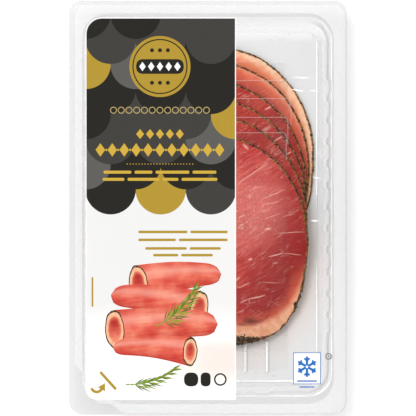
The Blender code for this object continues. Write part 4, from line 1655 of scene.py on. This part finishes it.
class Picture(Shape):
    """Printed shapes in one mesh. A point has its distance from a herb rim, its shade and its light."""

    def __init__(self):
        super().__init__("rim_distance", "shade", "light")

    def layer(self, rows, level, closed):
        """Rows of (x, y, rim distance, shade, light). Closed rows go round a filled middle."""
        height = film_top() + INK_THICKNESS + level * INK_LEVEL
        numbers = [[self.add((x, y, height), *values) for x, y, *values in row] for row in rows]
        for near, far in zip(numbers, numbers[1:]):
            self.band(near, far, closed)
        if closed:
            self.faces.append(tuple(numbers[-1]))

    def side(self, mouth, radius, angle, length, taper, level):
        """A roll's side, lit from above, from its mouth to its rounded end."""
        up = 1 if math.cos(angle) > 0.0 else -1
        rows = []
        for step in range(ROLL_STEPS + 1):
            share = step / ROLL_STEPS
            ending = max((share - ROLL_END) / (1.0 - ROLL_END), 0.0)
            half = radius * (1.0 - taper * share) * max(math.sqrt(1.0 - ending**ROLL_END_POWER), ROLL_TIP)
            row = []
            for column in range(ROLL_COLUMNS + 1):
                height = 2.0 * column / ROLL_COLUMNS - 1.0
                out = up * (half * height + ROLL_BOW * math.sin(math.pi * share))
                shade = ROLL_RIM_SHADE[0] * abs(height) ** ROLL_RIM_SHADE[1] + ROLL_END_SHADE * share
                shade += ROLL_LOW_SHADE[0] * max(-height, 0.0) ** ROLL_LOW_SHADE[1]
                light = swell(height - ROLL_LIGHT[0], ROLL_LIGHT[1])
                row.append((*turned([(length * share, out)], *mouth, angle)[0], FAR_FROM_RIM, shade, light))
            rows.append(row[::up])
        self.layer(rows[::-1], level, False)

    def mouth(self, mouth, radius, angle, level):
        """A roll's open end: rings inwards from its herb rim to the shaded hollow."""
        up = 1 if math.cos(angle) > 0.0 else -1
        rings = []
        for reach in PICTURE_RINGS:
            rim = min(1.0 - reach, HOLLOW_RIM + abs(reach - MOUTH_HOLLOW)) * radius
            hollow = min(max((MOUTH_HOLLOW - reach) / HOLLOW_SLOPE, 0.0), 1.0)
            row = []
            for step in range(ARC_STEPS):
                turn = 2 * math.pi * step / ARC_STEPS
                waves = [size * math.sin(count * turn + shift * level) for count, shift, size in MOUTH_WAVES]
                size = radius * reach * (1.0 + sum(waves))
                local = (size * MOUTH_SQUASH * math.cos(turn), size * math.sin(turn))
                shade = hollow * (HOLLOW_SHADE[0] + HOLLOW_SHADE[1] * up * math.sin(turn))
                row.append((*turned([local], *mouth, angle)[0], rim, shade, 0.0))
            rings.append(row)
        self.layer(rings, level + 1, True)


def print_picture(inks):
    """A generic serving picture: rolled slices with dark rims, and sprigs."""
    picture = Picture()
    for number, (x, y, radius, degrees, length, taper) in enumerate(PICTURE_ROLLS):
        level = PICTURE_LEVEL + 2 * number
        mouth, angle = (x * MM, y * MM), math.radians(degrees)
        picture.side(mouth, radius * MM, angle, length * MM, taper, level)
        picture.mouth(mouth, radius * MM, angle, level)
    made = picture.make("print_picture", [picture_material()])
    thicken = made.modifiers.new("Thickness", "SOLIDIFY")
    thicken.thickness = INK_THICKNESS
    thicken.offset = -1.0
    lie_as_ink(made)
    for row in SPRIGS:
        sprig(inks, *row)


def make_print():
    inks = {name: Ink() for name in (*INKS, "pale")}
    materials = {name: ink_material(f"ink_{name}", srgb(*colour)) for name, colour in INKS.items()}
    materials["pale"] = paper_material()
    field = print_field(PRINT_OUTLINE)
    inks["white"].stamp(print_field(0.0), 0)
    inks["pale"].stamp(field, 2)
    print_scallops(inks, field)
    print_ornaments(inks)
    print_bar_lines(inks)
    print_arrow(inks["gold"])
    print_picture(inks)
    print_mark(inks)
    for name, ink in inks.items():
        lie_as_ink(ink.make(f"print_{name}", [materials[name]]))


# Stage

def make_floor():
    """A wide white floor, a hair below the tray so that the two don't share a plane."""
    half = FLOOR_SIZE / 2
    shape = Shape()
    shape.faces.append(shape.row(((-half, -half), (half, -half), (half, half), (-half, half)), -FLOOR_DROP))
    material = Material("pale_floor").finish(Base_Color=grey(FLOOR_WHITE), Roughness=FLOOR_ROUGHNESS)
    floor = shape.make("floor", [material])


def make_world():
    """A white studio: pale at the horizon, brightest halfway up, and dimmer straight above."""
    world = bpy.data.worlds.new("studio")
    bpy.context.scene.world = world
    world.use_nodes = True
    graph = Graph(world.node_tree)
    height = graph.node("SeparateXYZ", "Z", {0: graph.node("TexCoord", "Generated", {})})
    stops = []
    for position, level in WORLD_STOPS:
        stops.append((position, (*(level * channel for channel in FILL_COLOUR), 1.0)))
    background = world.node_tree.nodes["Background"]
    graph.put(background.inputs["Color"], graph.ramp(height, stops))
    graph.put(background.inputs["Strength"], WORLD_STRENGTH)


def make_sun(name, place, strength, spread, colour):
    data = bpy.data.lights.new(name, "SUN")
    data.energy = strength
    data.angle = math.radians(spread)
    data.color = colour
    made = bpy.data.objects.new(name, data)
    made.rotation_euler = (-Vector(place)).to_track_quat("-Z", "Y").to_euler()
    bpy.context.scene.collection.objects.link(made)


def make_camera():
    data = bpy.data.cameras.new("camera")
    data.lens = LENS
    data.sensor_width = SENSOR
    data.clip_end = CLIP_END
    camera = bpy.data.objects.new("camera", data)
    camera.location = (*VIEW_MIDDLE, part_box("lid_film")[1].z + VIEW_WIDTH * LENS / SENSOR)
    bpy.context.scene.collection.objects.link(camera)
    bpy.context.scene.camera = camera


def main():
    clear = {name: clear_material(name, *finish) for name, finish in CLEAR_FINISHES.items()}
    make_tray(clear["clear_tray"])
    make_lid(clear["clear_film"])
    make_seal(clear["seal"])
    make_crease_glints(clear["crease_glint_white"])
    group = streak_group()
    herbs = herb_material()
    for index in range(len(SLICE_PLACES)):
        # The top sheet's edges get no painted highlight
        border = clear["clear_sheet" if index == FRONT_SLICE else "sheet_edge_highlight"]
        make_sheet(index, clear["clear_sheet"], border)
        make_slice(index, meat_material(index, group))
        make_herbs(index, herbs)
    make_crumbs(herbs)
    make_print()
    make_floor()
    make_world()
    for name, sun in SUNS.items():
        make_sun(name, *sun)
    make_camera()
    scene = bpy.context.scene
    scene.view_settings.view_transform = "Standard"
    scene.cycles.transparent_max_bounces = CLEAR_BOUNCES
    scene.cycles.use_denoising = True


main()
